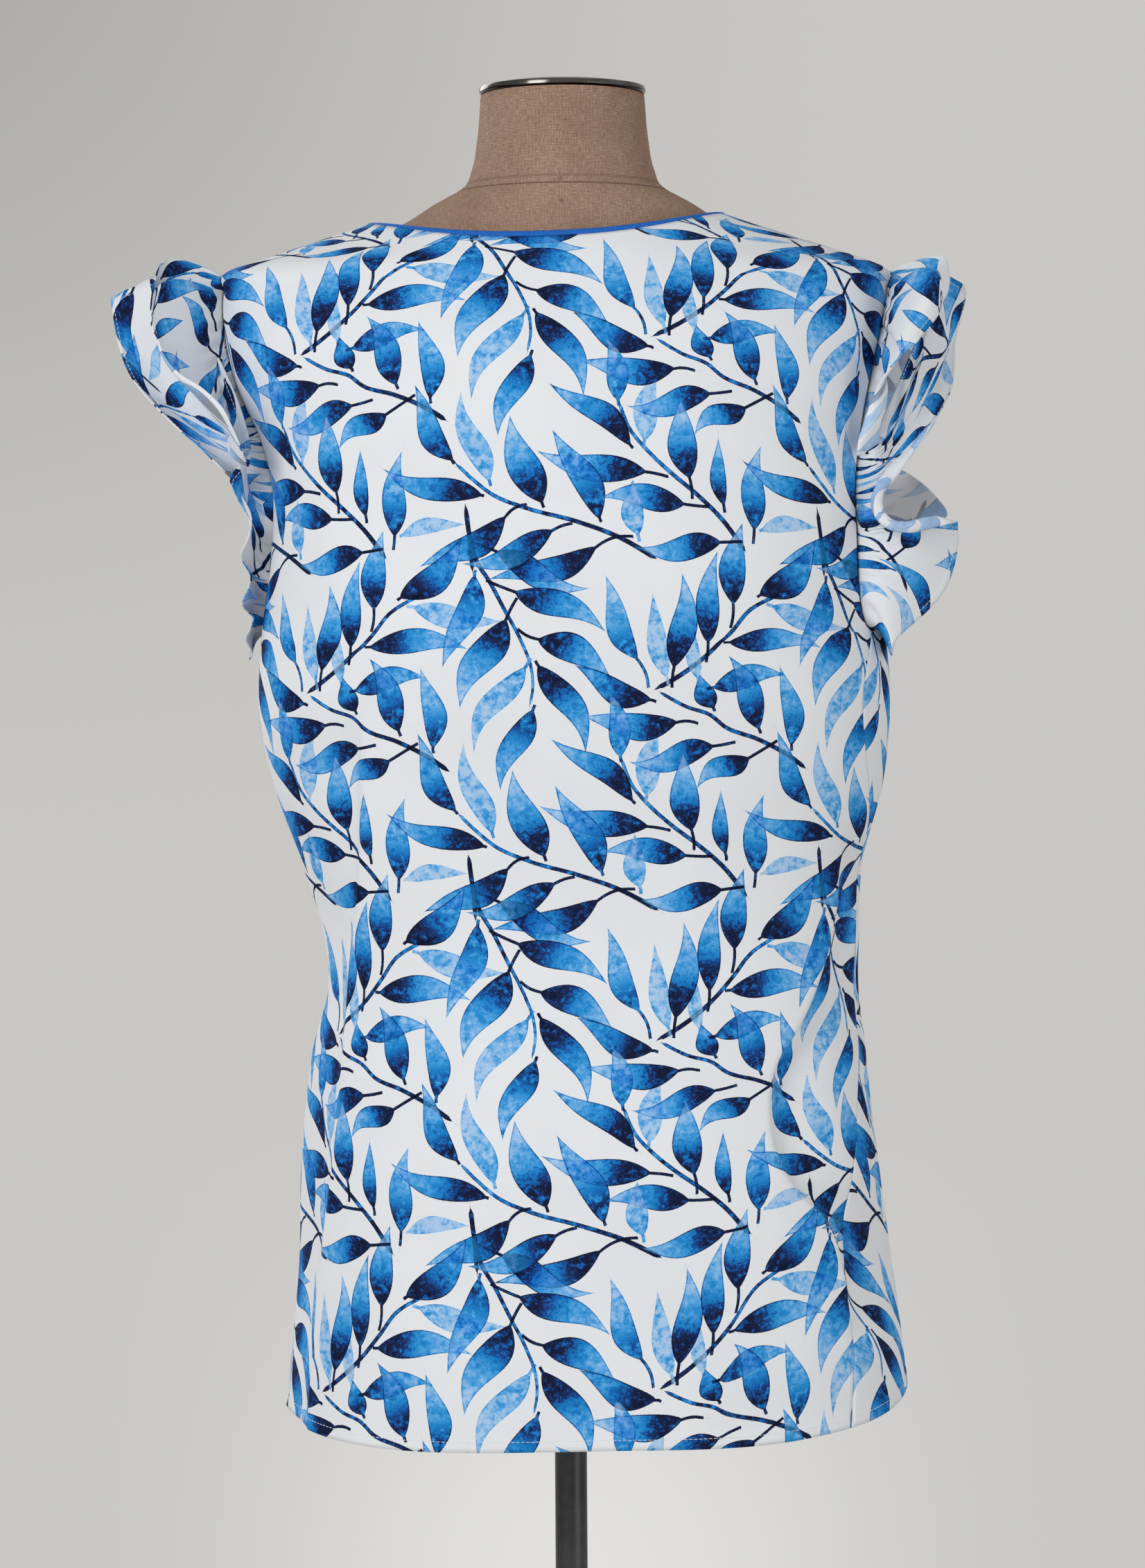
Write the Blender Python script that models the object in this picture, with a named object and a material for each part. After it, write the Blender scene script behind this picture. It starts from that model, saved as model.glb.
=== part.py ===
"""A sleeveless tunic top with ruffled armholes, worn by a limbless dress form on a pole and a round base.

Metres, +Z up. The origin is the middle of the base's underside, on the floor. The back of the tunic
faces -Y. Turns go round the body in degrees: 0 is the centre back, 90 is the +X side, 180 the front.
"""

import math

import bmesh
import bpy
import numpy as np

MM = 0.001

# Driving dimensions
DATUM_Z = 0.987  # height of the lower chest line, from which the section tables measure
CLOTH = 1.6 * MM  # wall of one layer of cloth
RUFFLE_CLOTH = 1.2 * MM  # wall of the ruffles' thinner, softer cloth
SEAM = 0.3 * MM  # space between two pieces
SIDE_Y = 5 * MM  # depth of the body's widest line

NECK_LEFT_X = -115 * MM  # where the neckline meets the shoulder seams
NECK_RIGHT_X = 94 * MM
NECK_LEFT_Z = 332 * MM  # above the datum, as are all the heights of the tunic
NECK_RIGHT_Z = 337 * MM
BACK_NECK_DROP = 14.5 * MM
FRONT_NECK_DROP = 72 * MM
BACK_NECK_POWER = 2.2
FRONT_NECK_POWER = 2.0
BINDING_WIDTH = 3.0 * MM
BINDING_PROUD = 0.5 * MM  # how far the folded binding stands proud of the cloth, outside and inside

ROOT_INSET = 2.4 * MM  # from the armhole's edge to the middle of the ruffle's wall
SHOULDER_END_Z = 305 * MM
UNDERARM_Z = 88 * MM
HEM_Z = -380 * MM

POLE_RADIUS = 9.5 * MM
BASE_RADIUS = 190 * MM
BASE_THICKNESS = 8 * MM
BOSS_RADIUS = 20 * MM
BOSS_TOP_Z = 34 * MM
CAP_RADIUS = 49.3 * MM
CAP_RIM = 4 * MM
CAP_TOP_Z = 416 * MM
FORM_FLOOR_Z = -300 * MM
FORM_NECK_Z = 407.7 * MM

PANEL_COLUMNS = 25  # points across a panel; the binding's points meet them


def table(columns, rows):
    """A dictionary of named columns."""
    return dict(zip(columns.split(), np.array(rows, float).T))


# The tunic's sections, in mm: height above the datum, reach to either side, back and front, and the
# power of the section's superellipse (2 is an ellipse, more is boxier, less is more pointed).
TUNIC_SECTIONS = table(
    "z left right back front power",
    [
        (-400, -172, 202, -126, 123, 2.5),
        (-325, -164, 196, -124, 120, 2.5),
        (-278, -160, 190, -120, 118, 2.5),
        (-232, -159, 184, -115, 117, 2.5),
        (-186, -155.5, 178.5, -105, 118, 2.5),
        (-153, -150.7, 175.5, -98, 120, 2.5),
        (-120, -142, 172, -94, 123, 2.5),
        (-93, -143.4, 172.5, -93, 126, 2.5),
        (-46, -157, 175, -98, 134, 2.5),
        (0, -173, 187, -106, 143, 2.5),
        (46, -182, 191.6, -114, 150, 2.5),
        (86, -180, 189.5, -118, 150, 2.5),
        (139, -174, 186, -119.5, 134, 2.6),
        (176, -174, 182, -119, 120, 2.6),
        (204, -181, 182, -118, 109, 2.6),
        (232, -194, 185, -114, 101, 2.5),
        (265, -202, 190, -107, 95, 2.3),
        (291, -202, 192, -95, 88, 2.1),
        (305, -198, 190, -88, 83, 1.9),
        (312, -177, 172, -84, 79, 1.8),
        (322, -146, 141, -77, 73, 1.8),
        (332, -115, 110, -72, 68, 1.8),
        (338, -97, 92, -68.5, 64, 1.8),
        (348, -70, 66, -64, 58, 2),
    ],
)

# The dress form's sections, in mm, symmetrical from side to side and at least 4 mm inside the tunic.
FORM_SECTIONS = table(
    "z half back front power",
    [
        (-300, 139, -99, 97, 2.3),
        (-294, 144, -105, 102, 2.3),
        (-270, 147, -107, 106, 2.3),
        (-232, 145, -101, 106, 2.3),
        (-186, 140, -90, 103, 2.3),
        (-153, 134, -82, 96, 2.3),
        (-107, 128, -77, 88, 2.3),
        (-46, 142, -87, 98, 2.3),
        (0, 160, -98, 112, 2.4),
        (46, 170, -108, 139, 2.4),
        (86, 170, -113, 144, 2.4),
        (139, 168, -114.5, 128, 2.5),
        (176, 168, -114, 114, 2.5),
        (199, 172, -113, 104, 2.5),
        (227, 179, -109.5, 96, 2.4),
        (260, 185, -102, 89, 2.25),
        (286, 186, -90.5, 82, 2.1),
        (300, 180, -83.5, 77, 1.9),
        (307, 165, -79.5, 73, 1.8),
        (317, 134, -72.5, 67, 1.8),
        (327, 105, -67, 62, 1.8),
        (333, 93, -64, 59, 1.85),
        (343, 77, -60, 55, 1.9),
        (353, 59.5, -56.5, 51, 2),
        (364, 54, -53.5, 48.5, 2),
        (381, 50.8, -52, 47, 2),
        (407.7, 48.5, -50.5, 46.5, 2),
    ],
)

# Where the side seams run, in degrees of turn, from the hem up to the underarm.
SIDE_SEAMS = table(
    "z left right",
    [
        (-400, -96, 46),
        (-278, -96, 54),
        (-186, -96, 66),
        (-120, -96, 80),
        (-46, -95, 80),
        (0, -95, 64),
        (50, -94, 58),
        (88, -93, 64),
    ],
)

# The hem's height, in mm, by turn: lowest at the back, highest at the +X side.
HEM = table(
    "turn z",
    [
        (-180, -362),
        (-135, -364),
        (-96, -364),
        (-70, -370),
        (-40, -380),
        (0, -380),
        (30, -378),
        (50, -370),
        (75, -357),
        (95, -350),
        (125, -351),
        (150, -358),
        (180, -362),
        (225, -364),
        (264, -364),
        (290, -370),
    ],
)

# The armholes: the underarm's turn, and how far the edge swings to the back and to the front of the
# line from the shoulder's end to the underarm, in degrees.
ARMHOLES = {
    "left": {"side": -1, "underarm": -93, "to_back": 17, "to_front": 18},
    "right": {"side": 1, "underarm": 64, "to_back": 14, "to_front": 26},
}

# Folds of the body cloth. Beyond its path, on the outer side, the cloth sinks in over width, by depth
# at most, and comes back. The paths are in FOLD_PATHS: heights, then sideways places, in mm.
FOLDS = [
    {"path": "back left", "face": "back", "side": -1, "depth": 6, "width": 18},
    {"path": "back right", "face": "back", "side": 1, "depth": 7, "width": 18},
    {"path": "front left", "face": "front", "side": -1, "depth": 6, "width": 18},
    {"path": "front right", "face": "front", "side": 1, "depth": 6, "width": 20},
    {"path": "front middle", "face": "front", "side": 1, "depth": 4, "width": 18},
]
FOLD_PATHS = {
    "back left": ((-360, -300, -190, -130, -40, 10), (-152, -147, -134, -129, -120, -118)),
    "back right": ((-290, -252, -230, -190, -159, -143, -104, -70), (160, 148, 128, 116, 122, 133, 150, 158)),
    "front left": ((-380, -280, -180, -90), (-118, -110, -104, -108)),
    "front right": ((-380, -260, -150, -60), (128, 118, 112, 120)),
    "front middle": ((-380, -300, -220, -170), (20, 24, 31, 36)),
}
FOLD_FADE = 45 * MM  # length over which a fold dies out at each end
FOLD_FACING = 0.4  # cosine of the turn below which a fold dies out towards the side

# The ruffles' hems. Each row is a place on the armhole (0 at the shoulder, 180 at the underarm, plus
# to the back and minus to the front) and where the hem lies, in mm: out from the middle of the body, to
# the back, and above the datum. The cloth rises that far from the seam before it bends over, and lean
# turns it outwards (plus) or inwards (minus) from the body's normal.
LEFT_RUFFLE = table(
    "theta out back up rise lean",
    [
        (-180, 188, -10, 75, 6, 1),
        (-172, 188, -20, 78, 6, 1),
        (-164, 188, -30, 84, 7, 1),
        (-155, 188, -40, 92, 8, 0.8),
        (-146, 188, -48, 102, 9, 0.8),
        (-137, 187, -58, 114, 11, 0.5),
        (-128, 186, -66, 128, 13, 0.3),
        (-119, 188, -66, 142, 14, 0.5),
        (-110, 190, -60, 156, 16, 0.9),
        (-102, 192, -62, 170, 18, 0.8),
        (-94, 190, -72, 182, 20, 0.4),
        (-86, 198, -82, 194, 24, 0.2),
        (-78, 212, -76, 205, 27, 0.5),
        (-71, 230, -58, 220, 29, 0.9),
        (-64, 240, -44, 242, 30, 1),
        (-57, 237, -46, 254, 31, 0.9),
        (-50, 224, -60, 252, 33, 0.6),
        (-42, 213, -74, 250, 36, 0.4),
        (-33, 216, -80, 262, 38, 0.5),
        (-23, 232, -56, 284, 38, 0.8),
        (-12, 236, -26, 302, 36, 1),
        (0, 233, 6, 309, 34, 1),
        (14, 239, 40, 293, 38, 0.8),
        (28, 238, 63, 271, 40, 0.5),
        (42, 234, 78, 252, 40, 0.3),
        (53, 227, 80, 237, 34, 0.3),
        (59, 231, 64, 239, 30, 0.6),
        (64, 239, 42, 252, 28, 0.9),
        (69, 249, 22, 272, 28, 1),
        (74, 263, 2, 294, 30, 1),
        (78, 267, 8, 286, 30, 1),
        (81.5, 262, 22, 260, 30, 1),
        (84.5, 252, 35, 236, 29, 1),
        (87.5, 232, 43, 212, 26, 1),
        (91, 208, 46, 191, 20, 1),
        (95, 196, 46, 186, 16, 0.8),
        (99, 191, 53, 187, 16, 0.5),
        (104, 190, 66, 192, 19, 0.4),
        (109, 186, 73, 182, 16, 0.2),
        (115, 182, 67, 168, 13, 0.2),
        (121, 181, 56, 152, 12, 0.3),
        (130, 187, 42, 133, 11, 0.8),
        (138, 184, 36, 119, 9, 0.5),
        (146, 186, 28, 107, 9, 0.8),
        (155, 186, 18, 96, 8, 1),
        (164, 186, 8, 86, 7, 1),
        (172, 187, 0, 79, 6, 1),
        (180, 188, -10, 75, 6, 1),
    ],
)
RIGHT_RUFFLE = table(
    "theta out back up rise lean",
    [
        (-180, 190, 46, 74, 7, 1),
        (-173, 191, 34, 76, 8, 1),
        (-166, 193, 20, 80, 9, 1),
        (-158, 196, 6, 88, 10, 1),
        (-150, 199, -8, 97, 11, 1),
        (-142, 198, -22, 106, 12, 0.9),
        (-134, 196, -34, 116, 14, 0.8),
        (-126, 199, -42, 128, 16, 0.8),
        (-118, 204, -46, 142, 18, 0.9),
        (-110, 203, -50, 158, 19, 0.9),
        (-102, 197, -56, 172, 20, 0.8),
        (-94, 191, -70, 184, 22, 0.5),
        (-86, 191, -80, 196, 24, 0.3),
        (-78, 199, -74, 208, 27, 0.5),
        (-71, 213, -54, 222, 29, 0.9),
        (-64, 222, -42, 240, 30, 1),
        (-57, 219, -46, 252, 31, 0.9),
        (-50, 208, -62, 250, 33, 0.6),
        (-42, 200, -78, 250, 36, 0.4),
        (-33, 206, -76, 262, 38, 0.5),
        (-23, 218, -54, 282, 38, 0.8),
        (-12, 222, -32, 300, 36, 1),
        (0, 224, -8, 306, 32, 1),
        (13, 227, 12, 296, 28, 0.8),
        (26, 220, 42, 273, 34, 0.6),
        (38, 205, 68, 250, 36, 0.4),
        (48, 193, 80, 238, 34, 0.2),
        (54, 187, 82, 230, 30, 0.1),
        (59.5, 192, 68, 233, 26, 0.4),
        (65, 205, 48, 243, 26, 0.8),
        (70, 220, 26, 262, 27, 1),
        (74.5, 237, 2, 289, 28, 1),
        (77.5, 240, 0, 291, 30, 1),
        (80.5, 233, 12, 268, 30, 1),
        (83.5, 228, 24, 245, 30, 1),
        (86.5, 219, 37, 221, 28, 1),
        (89.5, 206, 49, 201, 27, 0.9),
        (92.5, 196, 58, 188, 24, 0.7),
        (95.5, 189, 66, 178, 21, 0.5),
        (98.5, 184, 75, 168, 20, 0.5),
        (101.5, 184, 83, 158, 20, 0.5),
        (104.5, 192, 86, 151, 22, 0.5),
        (108, 211, 71, 154, 27, 0.5),
        (111.5, 225, 53, 157, 26, 0.9),
        (115, 229, 42, 146, 26, 1),
        (119, 227, 39, 127, 26, 1),
        (123, 220, 43, 110, 24, 0.9),
        (128, 208, 49, 97, 20, 0.8),
        (134, 197, 54, 86, 17, 0.7),
        (142, 190, 58, 77, 14, 0.7),
        (150, 189, 57, 75, 12, 0.8),
        (160, 190, 54, 74, 10, 0.9),
        (170, 190, 50, 74, 8, 1),
        (180, 190, 46, 74, 7, 1),
    ],
)

# Colours
CLOTH_WHITE = (0.80, 0.84, 0.88, 1)
BINDING_BLUE = (0.01, 0.11, 0.62, 1)
CANVAS_BROWN = (0.30, 0.19, 0.13, 1)
CHROME = (0.30, 0.29, 0.28, 1)
BLACK_STEEL = (0.02, 0.02, 0.022, 1)


def spline(knots, values, at):
    """A smooth curve through the points (knots, values), read at the given places."""
    slopes = np.gradient(values, knots)
    at = np.clip(at, knots[0], knots[-1])
    k = np.clip(np.searchsorted(knots, at) - 1, 0, len(knots) - 2)
    span = knots[k + 1] - knots[k]
    u = (at - knots[k]) / span
    return (
        values[k] * (1 + 2 * u) * (1 - u) ** 2
        + values[k + 1] * (3 - 2 * u) * u**2
        + span * (slopes[k] * u * (1 - u) ** 2 - slopes[k + 1] * (1 - u) * u**2)
    )


def ring(left, right, back, front, power, turn):
    """The point at this turn on a body section: a superellipse whose back and front differ."""
    c = np.cos(np.radians(turn))
    s = np.sin(np.radians(turn))
    r = (np.abs(s) ** power + np.abs(c) ** power) ** (-1 / power)
    x = (left + right) / 2 + (right - left) / 2 * s * r
    y = SIDE_Y + np.where(c > 0, SIDE_Y - back, front - SIDE_Y) * -c * r
    return x, y


def smoothstep(u):
    u = np.clip(u, 0, 1)
    return u * u * (3 - 2 * u)


def fold_sink(x, z, turn):
    """How far the folds push the cloth in at this place."""
    sink = np.zeros(np.broadcast(x, z, turn).shape)
    facing = np.cos(np.radians(turn))
    for fold in FOLDS:
        path_z, path_x = (MM * np.array(values) for values in FOLD_PATHS[fold["path"]])
        beyond = fold["side"] * (x - spline(path_z, path_x, z)) / (fold["width"] * MM)
        beyond = np.maximum(beyond, 0)
        profile = beyond**2 * np.exp(2 - 2 * beyond)
        ends = smoothstep((z - path_z[0] + FOLD_FADE) / FOLD_FADE)
        ends = ends * smoothstep((path_z[-1] + FOLD_FADE - z) / FOLD_FADE)
        face = smoothstep(facing / FOLD_FACING if fold["face"] == "back" else -facing / FOLD_FACING)
        sink = sink + fold["depth"] * MM * profile * ends * face
    return sink


def body(turn, z):
    """The tunic's outer surface at this turn and height above the datum, as an array of points."""
    turn, z = np.broadcast_arrays(np.asarray(turn, float), np.asarray(z, float))
    size = {name: spline(TUNIC_SECTIONS["z"] * MM, TUNIC_SECTIONS[name], z) for name in TUNIC_SECTIONS}
    left, right, back, front = (MM * size[name] for name in ("left", "right", "back", "front"))
    x, y = ring(left, right, back, front, size["power"], turn)
    middle = (left + right) / 2
    away = np.hypot(x - middle, y - SIDE_Y) + 1e-9
    sink = fold_sink(x, z, turn)
    x = x - sink * (x - middle) / away
    y = y - sink * (y - SIDE_Y) / away
    return np.stack([x, y, z + DATUM_Z], axis=-1)


def body_normal(turn, z):
    """The unit normal of the tunic's surface, pointing out."""
    small_turn, small_z = 0.2, 0.5 * MM
    along = body(turn + small_turn, z) - body(turn - small_turn, z)
    up = body(turn, z + small_z) - body(turn, z - small_z)
    normal = np.cross(along, up)
    return normal / np.linalg.norm(normal, axis=-1, keepdims=True)


def neck_height(x, face, widen):
    """The neckline's height at this sideways place. widen makes the opening that much larger all round."""
    half = (NECK_RIGHT_X - NECK_LEFT_X) / 2 + widen
    along = (x - (NECK_RIGHT_X + NECK_LEFT_X) / 2) / half
    line = NECK_LEFT_Z + (NECK_RIGHT_Z - NECK_LEFT_Z) * (along + 1) / 2
    u = np.minimum(np.abs(along), 1)
    if face == "back":
        return line - (BACK_NECK_DROP + widen) * (1 - u**BACK_NECK_POWER)
    return line - (FRONT_NECK_DROP + widen) * (1 - u**FRONT_NECK_POWER) ** (1 / FRONT_NECK_POWER)


def neckline(turn, face, widen):
    """The height at which the line of constant turn meets the neckline, by halving the interval."""
    low = np.full(np.shape(turn), 150 * MM)
    high = np.full(np.shape(turn), 347 * MM)
    for _ in range(40):
        middle = (low + high) / 2
        above = middle > neck_height(body(turn, middle)[..., 0], face, widen)
        high = np.where(above, middle, high)
        low = np.where(above, low, middle)
    return low


def hem_height(turn):
    return spline(HEM["turn"], HEM["z"] * MM, turn)


def armhole(side, theta, shrink=0.0):
    """The turn and height of an armhole's edge at theta degrees from the shoulder."""
    hole = ARMHOLES[side]
    middle = (SHOULDER_END_Z + UNDERARM_Z) / 2
    half = (SHOULDER_END_Z - UNDERARM_Z) / 2 - shrink
    c, s = np.cos(np.radians(theta)), np.sin(np.radians(theta))
    line = 90 * hole["side"] + (hole["underarm"] - 90 * hole["side"]) * (1 - c) / 2
    swing = np.where(np.asarray(theta) > 0, hole["to_back"], hole["to_front"]) - np.degrees(shrink / 0.13)
    return line - hole["side"] * swing * s, middle + half * c


def edge_turn(side, face, z):
    """The turn of a panel's edge at this height: side seam, then armhole, then shoulder seam."""
    hole = ARMHOLES[side]
    seam = spline(SIDE_SEAMS["z"] * MM, SIDE_SEAMS[side], z)
    middle = (SHOULDER_END_Z + UNDERARM_Z) / 2
    half = (SHOULDER_END_Z - UNDERARM_Z) / 2
    theta = np.degrees(np.arccos(np.clip((z - middle) / half, -1, 1)))
    hole_edge = armhole(side, theta if face == "back" else -theta)[0]
    turn = np.where(z < UNDERARM_Z, seam, np.where(z < SHOULDER_END_Z, hole_edge, 90 * hole["side"]))
    reach = np.where(z < SHOULDER_END_Z, 180 * MM, 70 * MM)
    inward = -hole["side"] if face == "back" else hole["side"]
    return turn + inward * np.degrees(SEAM / 2 / reach)


def new_object(name, mesh, material):
    part = bpy.data.objects.new(name, mesh)
    bpy.context.scene.collection.objects.link(part)
    mesh.materials.append(material)
    mesh.shade_smooth()
    mesh.set_sharp_from_angle(angle=math.radians(50))
    return part


def wall(name, outer, inner, material, closed=False):
    """A solid wall between two grids of points, outer[column, row] and inner, joined round their edges."""
    columns, rows = outer.shape[:2]
    form = bmesh.new()
    skins = [[[form.verts.new(point) for point in column] for column in grid] for grid in (outer, inner)]

    def face(a, b, c, d, turned=False):
        form.faces.new((b, c, d) if turned else (a, b, c))
        form.faces.new((b, d, a) if turned else (a, c, d))

    for i in range(columns if closed else columns - 1):
        j = (i + 1) % columns
        for k in range(rows - 1):
            diagonals = outer[i, k] - outer[j, k + 1], outer[j, k] - outer[i, k + 1]
            turned = np.linalg.norm(diagonals[1]) < np.linalg.norm(diagonals[0])
            for skin in skins:
                face(skin[i][k], skin[j][k], skin[j][k + 1], skin[i][k + 1], turned)
        for k in (0, rows - 1):
            face(skins[0][i][k], skins[0][j][k], skins[1][j][k], skins[1][i][k])
    if not closed:
        for i in (0, columns - 1):
            for k in range(rows - 1):
                face(skins[0][i][k], skins[0][i][k + 1], skins[1][i][k + 1], skins[1][i][k])
    bmesh.ops.recalc_face_normals(form, faces=form.faces)
    mesh = bpy.data.meshes.new(name)
    form.to_mesh(mesh)
    form.free()
    return new_object(name, mesh, material)


def panel_rows(count_body, count_armhole, count_shoulder):
    """Row places from 0 at the hem to 1 at the neckline, dense where the cloth turns over the shoulder."""
    length = NECK_LEFT_Z - HEM_Z
    underarm = (UNDERARM_Z - HEM_Z) / length
    shoulder = (SHOULDER_END_Z - HEM_Z) / length
    swing = (1 - np.cos(np.linspace(0, math.pi, count_armhole + 1))) / 2
    return np.concatenate(
        [
            np.linspace(0, underarm, count_body + 1)[:-1],
            underarm + (shoulder - underarm) * swing[:-1],
            np.linspace(shoulder, 1, count_shoulder + 1),
        ]
    )


def panel_places(face, columns, rows):
    """The turn and height of each point of a panel's grid."""
    widen = BINDING_WIDTH + SEAM
    across = np.linspace(-1, 1, columns)
    places = panel_rows(*rows)
    seams = SIDE_SEAMS["left"][0], SIDE_SEAMS["right"][0]
    first, last = seams if face == "back" else (seams[1], seams[0] + 360)
    top = neckline((0 if face == "back" else 180) + 90 * across, face, widen)
    bottom = hem_height(first + (last - first) * (across + 1) / 2)
    z = bottom[:, None] + (top - bottom)[:, None] * places[None, :]
    sides = ("left", "right") if face == "back" else ("right", "left")
    start = edge_turn(sides[0], face, z[0])
    end = edge_turn(sides[1], face, z[-1])
    if face == "front":
        end = end + 360
    middle = 0 if face == "back" else 180
    starts = start - (first + (middle - 90 - first) * places)
    ends = end - (last + (middle + 90 - last) * places)
    u = (across[:, None] + 1) / 2
    plain = (first + (last - first) * u) * (1 - places) + (middle - 90 + 180 * u) * places
    return plain + starts * (1 - u) ** 3 + ends * u**3, z


def panel(face, material, columns=PANEL_COLUMNS, rows=(11, 15, 5)):
    turn, z = panel_places(face, columns, rows)
    outer = body(turn, z)
    return wall(face + "_panel", outer, outer - CLOTH * body_normal(turn, z), material)


def binding(material, columns=2 * (PANEL_COLUMNS - 1)):
    """The folded strip that takes in the raw edge all round the neckline."""
    turn = np.linspace(-90, 270, columns, endpoint=False)
    outer, inner = [], []
    for widen in (BINDING_WIDTH, BINDING_WIDTH / 2, 0.0):
        z = np.where(turn <= 90, neckline(turn, "back", widen), neckline(turn, "front", widen))
        surface, normal = body(turn, z), body_normal(turn, z)
        outer.append(surface + BINDING_PROUD * normal)
        inner.append(surface - (CLOTH + BINDING_PROUD) * normal)
    return wall("neck_binding", np.stack(outer, 1), np.stack(inner, 1), material, closed=True)


def ruffle_points(side, rows, columns=120, across=5):
    """The middle surface of a ruffle: a strip that leaves the armhole squarely and bends over to its hem."""
    out = ARMHOLES[side]["side"]
    knots = np.arange(len(rows["theta"]), dtype=float)
    at = np.linspace(0, knots[-1], columns, endpoint=False)
    drop = {name: spline(knots, rows[name], at) for name in rows}
    turn, z = armhole(side, drop["theta"], ROOT_INSET)
    normal = body_normal(turn, z)
    root = body(turn, z) - CLOTH / 2 * normal
    hem = MM * np.stack([out * drop["out"], -drop["back"], drop["up"]], axis=-1) + [0, 0, DATUM_Z]
    leave = normal + drop["lean"][:, None] * [out, 0, 0]
    for _ in range(8):
        leave = (np.roll(leave, 1, axis=0) + 2 * leave + np.roll(leave, -1, axis=0)) / 4
    leave /= np.linalg.norm(leave, axis=-1, keepdims=True)
    bend = root + MM * drop["rise"][:, None] * leave
    r = np.linspace(0, 1, across)[None, :, None]
    return root[:, None] * (1 - r) ** 2 + 2 * bend[:, None] * r * (1 - r) + hem[:, None] * r**2


def ring_normal(points):
    """The unit normals of a grid of points whose first column follows its last."""
    along = np.roll(points, -1, axis=0) - np.roll(points, 1, axis=0)
    down = np.gradient(points, axis=1)
    normal = np.cross(along, down)
    return normal / np.linalg.norm(normal, axis=-1, keepdims=True)


def ruffle(side, rows, material):
    points = ruffle_points(side, rows)
    half = RUFFLE_CLOTH / 2 * ring_normal(points)
    return wall("ruffle_" + side, points + half, points - half, material, closed=True)


def form_torso(material, columns=32):
    """The padded torso and its neck, closed by a flat floor and a flat neck top."""
    heights = [-300, -297.5, -292, -280]
    heights += list(np.linspace(-255, 255, 19))
    heights += [270, 282, 292, 300, 307, 312, 318, 324, 330, 336, 342, 348, 353, 358, 364, 374, 388, 407.7]
    turn = np.linspace(0, 360, columns, endpoint=False)
    form = bmesh.new()
    loops = []
    for height in heights:
        size = {name: spline(FORM_SECTIONS["z"], FORM_SECTIONS[name], height) for name in FORM_SECTIONS}
        half, back, front = (MM * size[name] for name in ("half", "back", "front"))
        x, y = ring(-half, half, back, front, size["power"], turn)
        z = DATUM_Z + MM * height
        loops.append([form.verts.new((x[i], y[i], z)) for i in range(columns)])
    for lower, upper in zip(loops, loops[1:]):
        for i in range(columns):
            j = (i + 1) % columns
            form.faces.new([lower[i], lower[j], upper[j], upper[i]])
    form.faces.new(loops[0][::-1])
    form.faces.new(loops[-1])
    bmesh.ops.recalc_face_normals(form, faces=form.faces)
    mesh = bpy.data.meshes.new("form_torso")
    form.to_mesh(mesh)
    form.free()
    return new_object("form_torso", mesh, material)


def turned(name, profile, place, material, steps=36):
    """A solid of revolution about a vertical axis. The profile runs from the axis, up its outer side, to the axis."""
    form = bmesh.new()
    verts = [form.verts.new((r, 0, z)) for r, z in profile]
    edges = [form.edges.new(pair) for pair in zip(verts, verts[1:])]
    bmesh.ops.spin(
        form, geom=verts + edges, axis=(0, 0, 1), cent=(0, 0, 0), angle=math.tau, steps=steps, use_merge=True
    )
    bmesh.ops.remove_doubles(form, verts=form.verts, dist=1e-6)
    bmesh.ops.recalc_face_normals(form, faces=form.faces)
    mesh = bpy.data.meshes.new(name)
    form.to_mesh(mesh)
    form.free()
    part = new_object(name, mesh, material)
    part.location = place
    return part


def neck_cap(material):
    top = CAP_TOP_Z - FORM_NECK_Z
    low = SEAM
    rim = CAP_RADIUS
    profile = [
        (0, low),
        (rim - 1.5 * MM, low),
        (rim, low + 1 * MM),
        (rim, low + CAP_RIM - 1 * MM),
        (rim - 1 * MM, low + CAP_RIM),
        (rim - 5 * MM, low + CAP_RIM + 0.6 * MM),
        (rim * 0.6, top - 1.2 * MM),
        (0, top),
    ]
    return turned("neck_cap", profile, (0, (-50.5 + 46.5) / 2 * MM, DATUM_Z + FORM_NECK_Z), material)


def pole(material):
    foot = BOSS_TOP_Z + SEAM
    top = DATUM_Z + FORM_FLOOR_Z - SEAM - foot
    profile = [(0, 0), (POLE_RADIUS, 0), (POLE_RADIUS, top), (0, top)]
    return turned("pole", profile, (0, 0, foot), material, steps=24)


def base(material):
    profile = [
        (0, 0),
        (BASE_RADIUS - 1.5 * MM, 0),
        (BASE_RADIUS, 1.5 * MM),
        (BASE_RADIUS, BASE_THICKNESS - 3 * MM),
        (BASE_RADIUS - 3 * MM, BASE_THICKNESS),
        (BOSS_RADIUS + 6 * MM, BASE_THICKNESS + 2 * MM),
        (BOSS_RADIUS, BASE_THICKNESS + 8 * MM),
        (BOSS_RADIUS - 2 * MM, BOSS_TOP_Z - 2 * MM),
        (BOSS_RADIUS - 4 * MM, BOSS_TOP_Z),
        (0, BOSS_TOP_Z),
    ]
    return turned("base", profile, (0, 0, 0), material, steps=44)


def material(name, colour, roughness, metallic=0.0):
    made = bpy.data.materials.new(name)
    made.use_nodes = True
    shader = made.node_tree.nodes["Principled BSDF"]
    shader.inputs["Base Color"].default_value = colour
    shader.inputs["Roughness"].default_value = roughness
    shader.inputs["Metallic"].default_value = metallic
    return made


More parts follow.
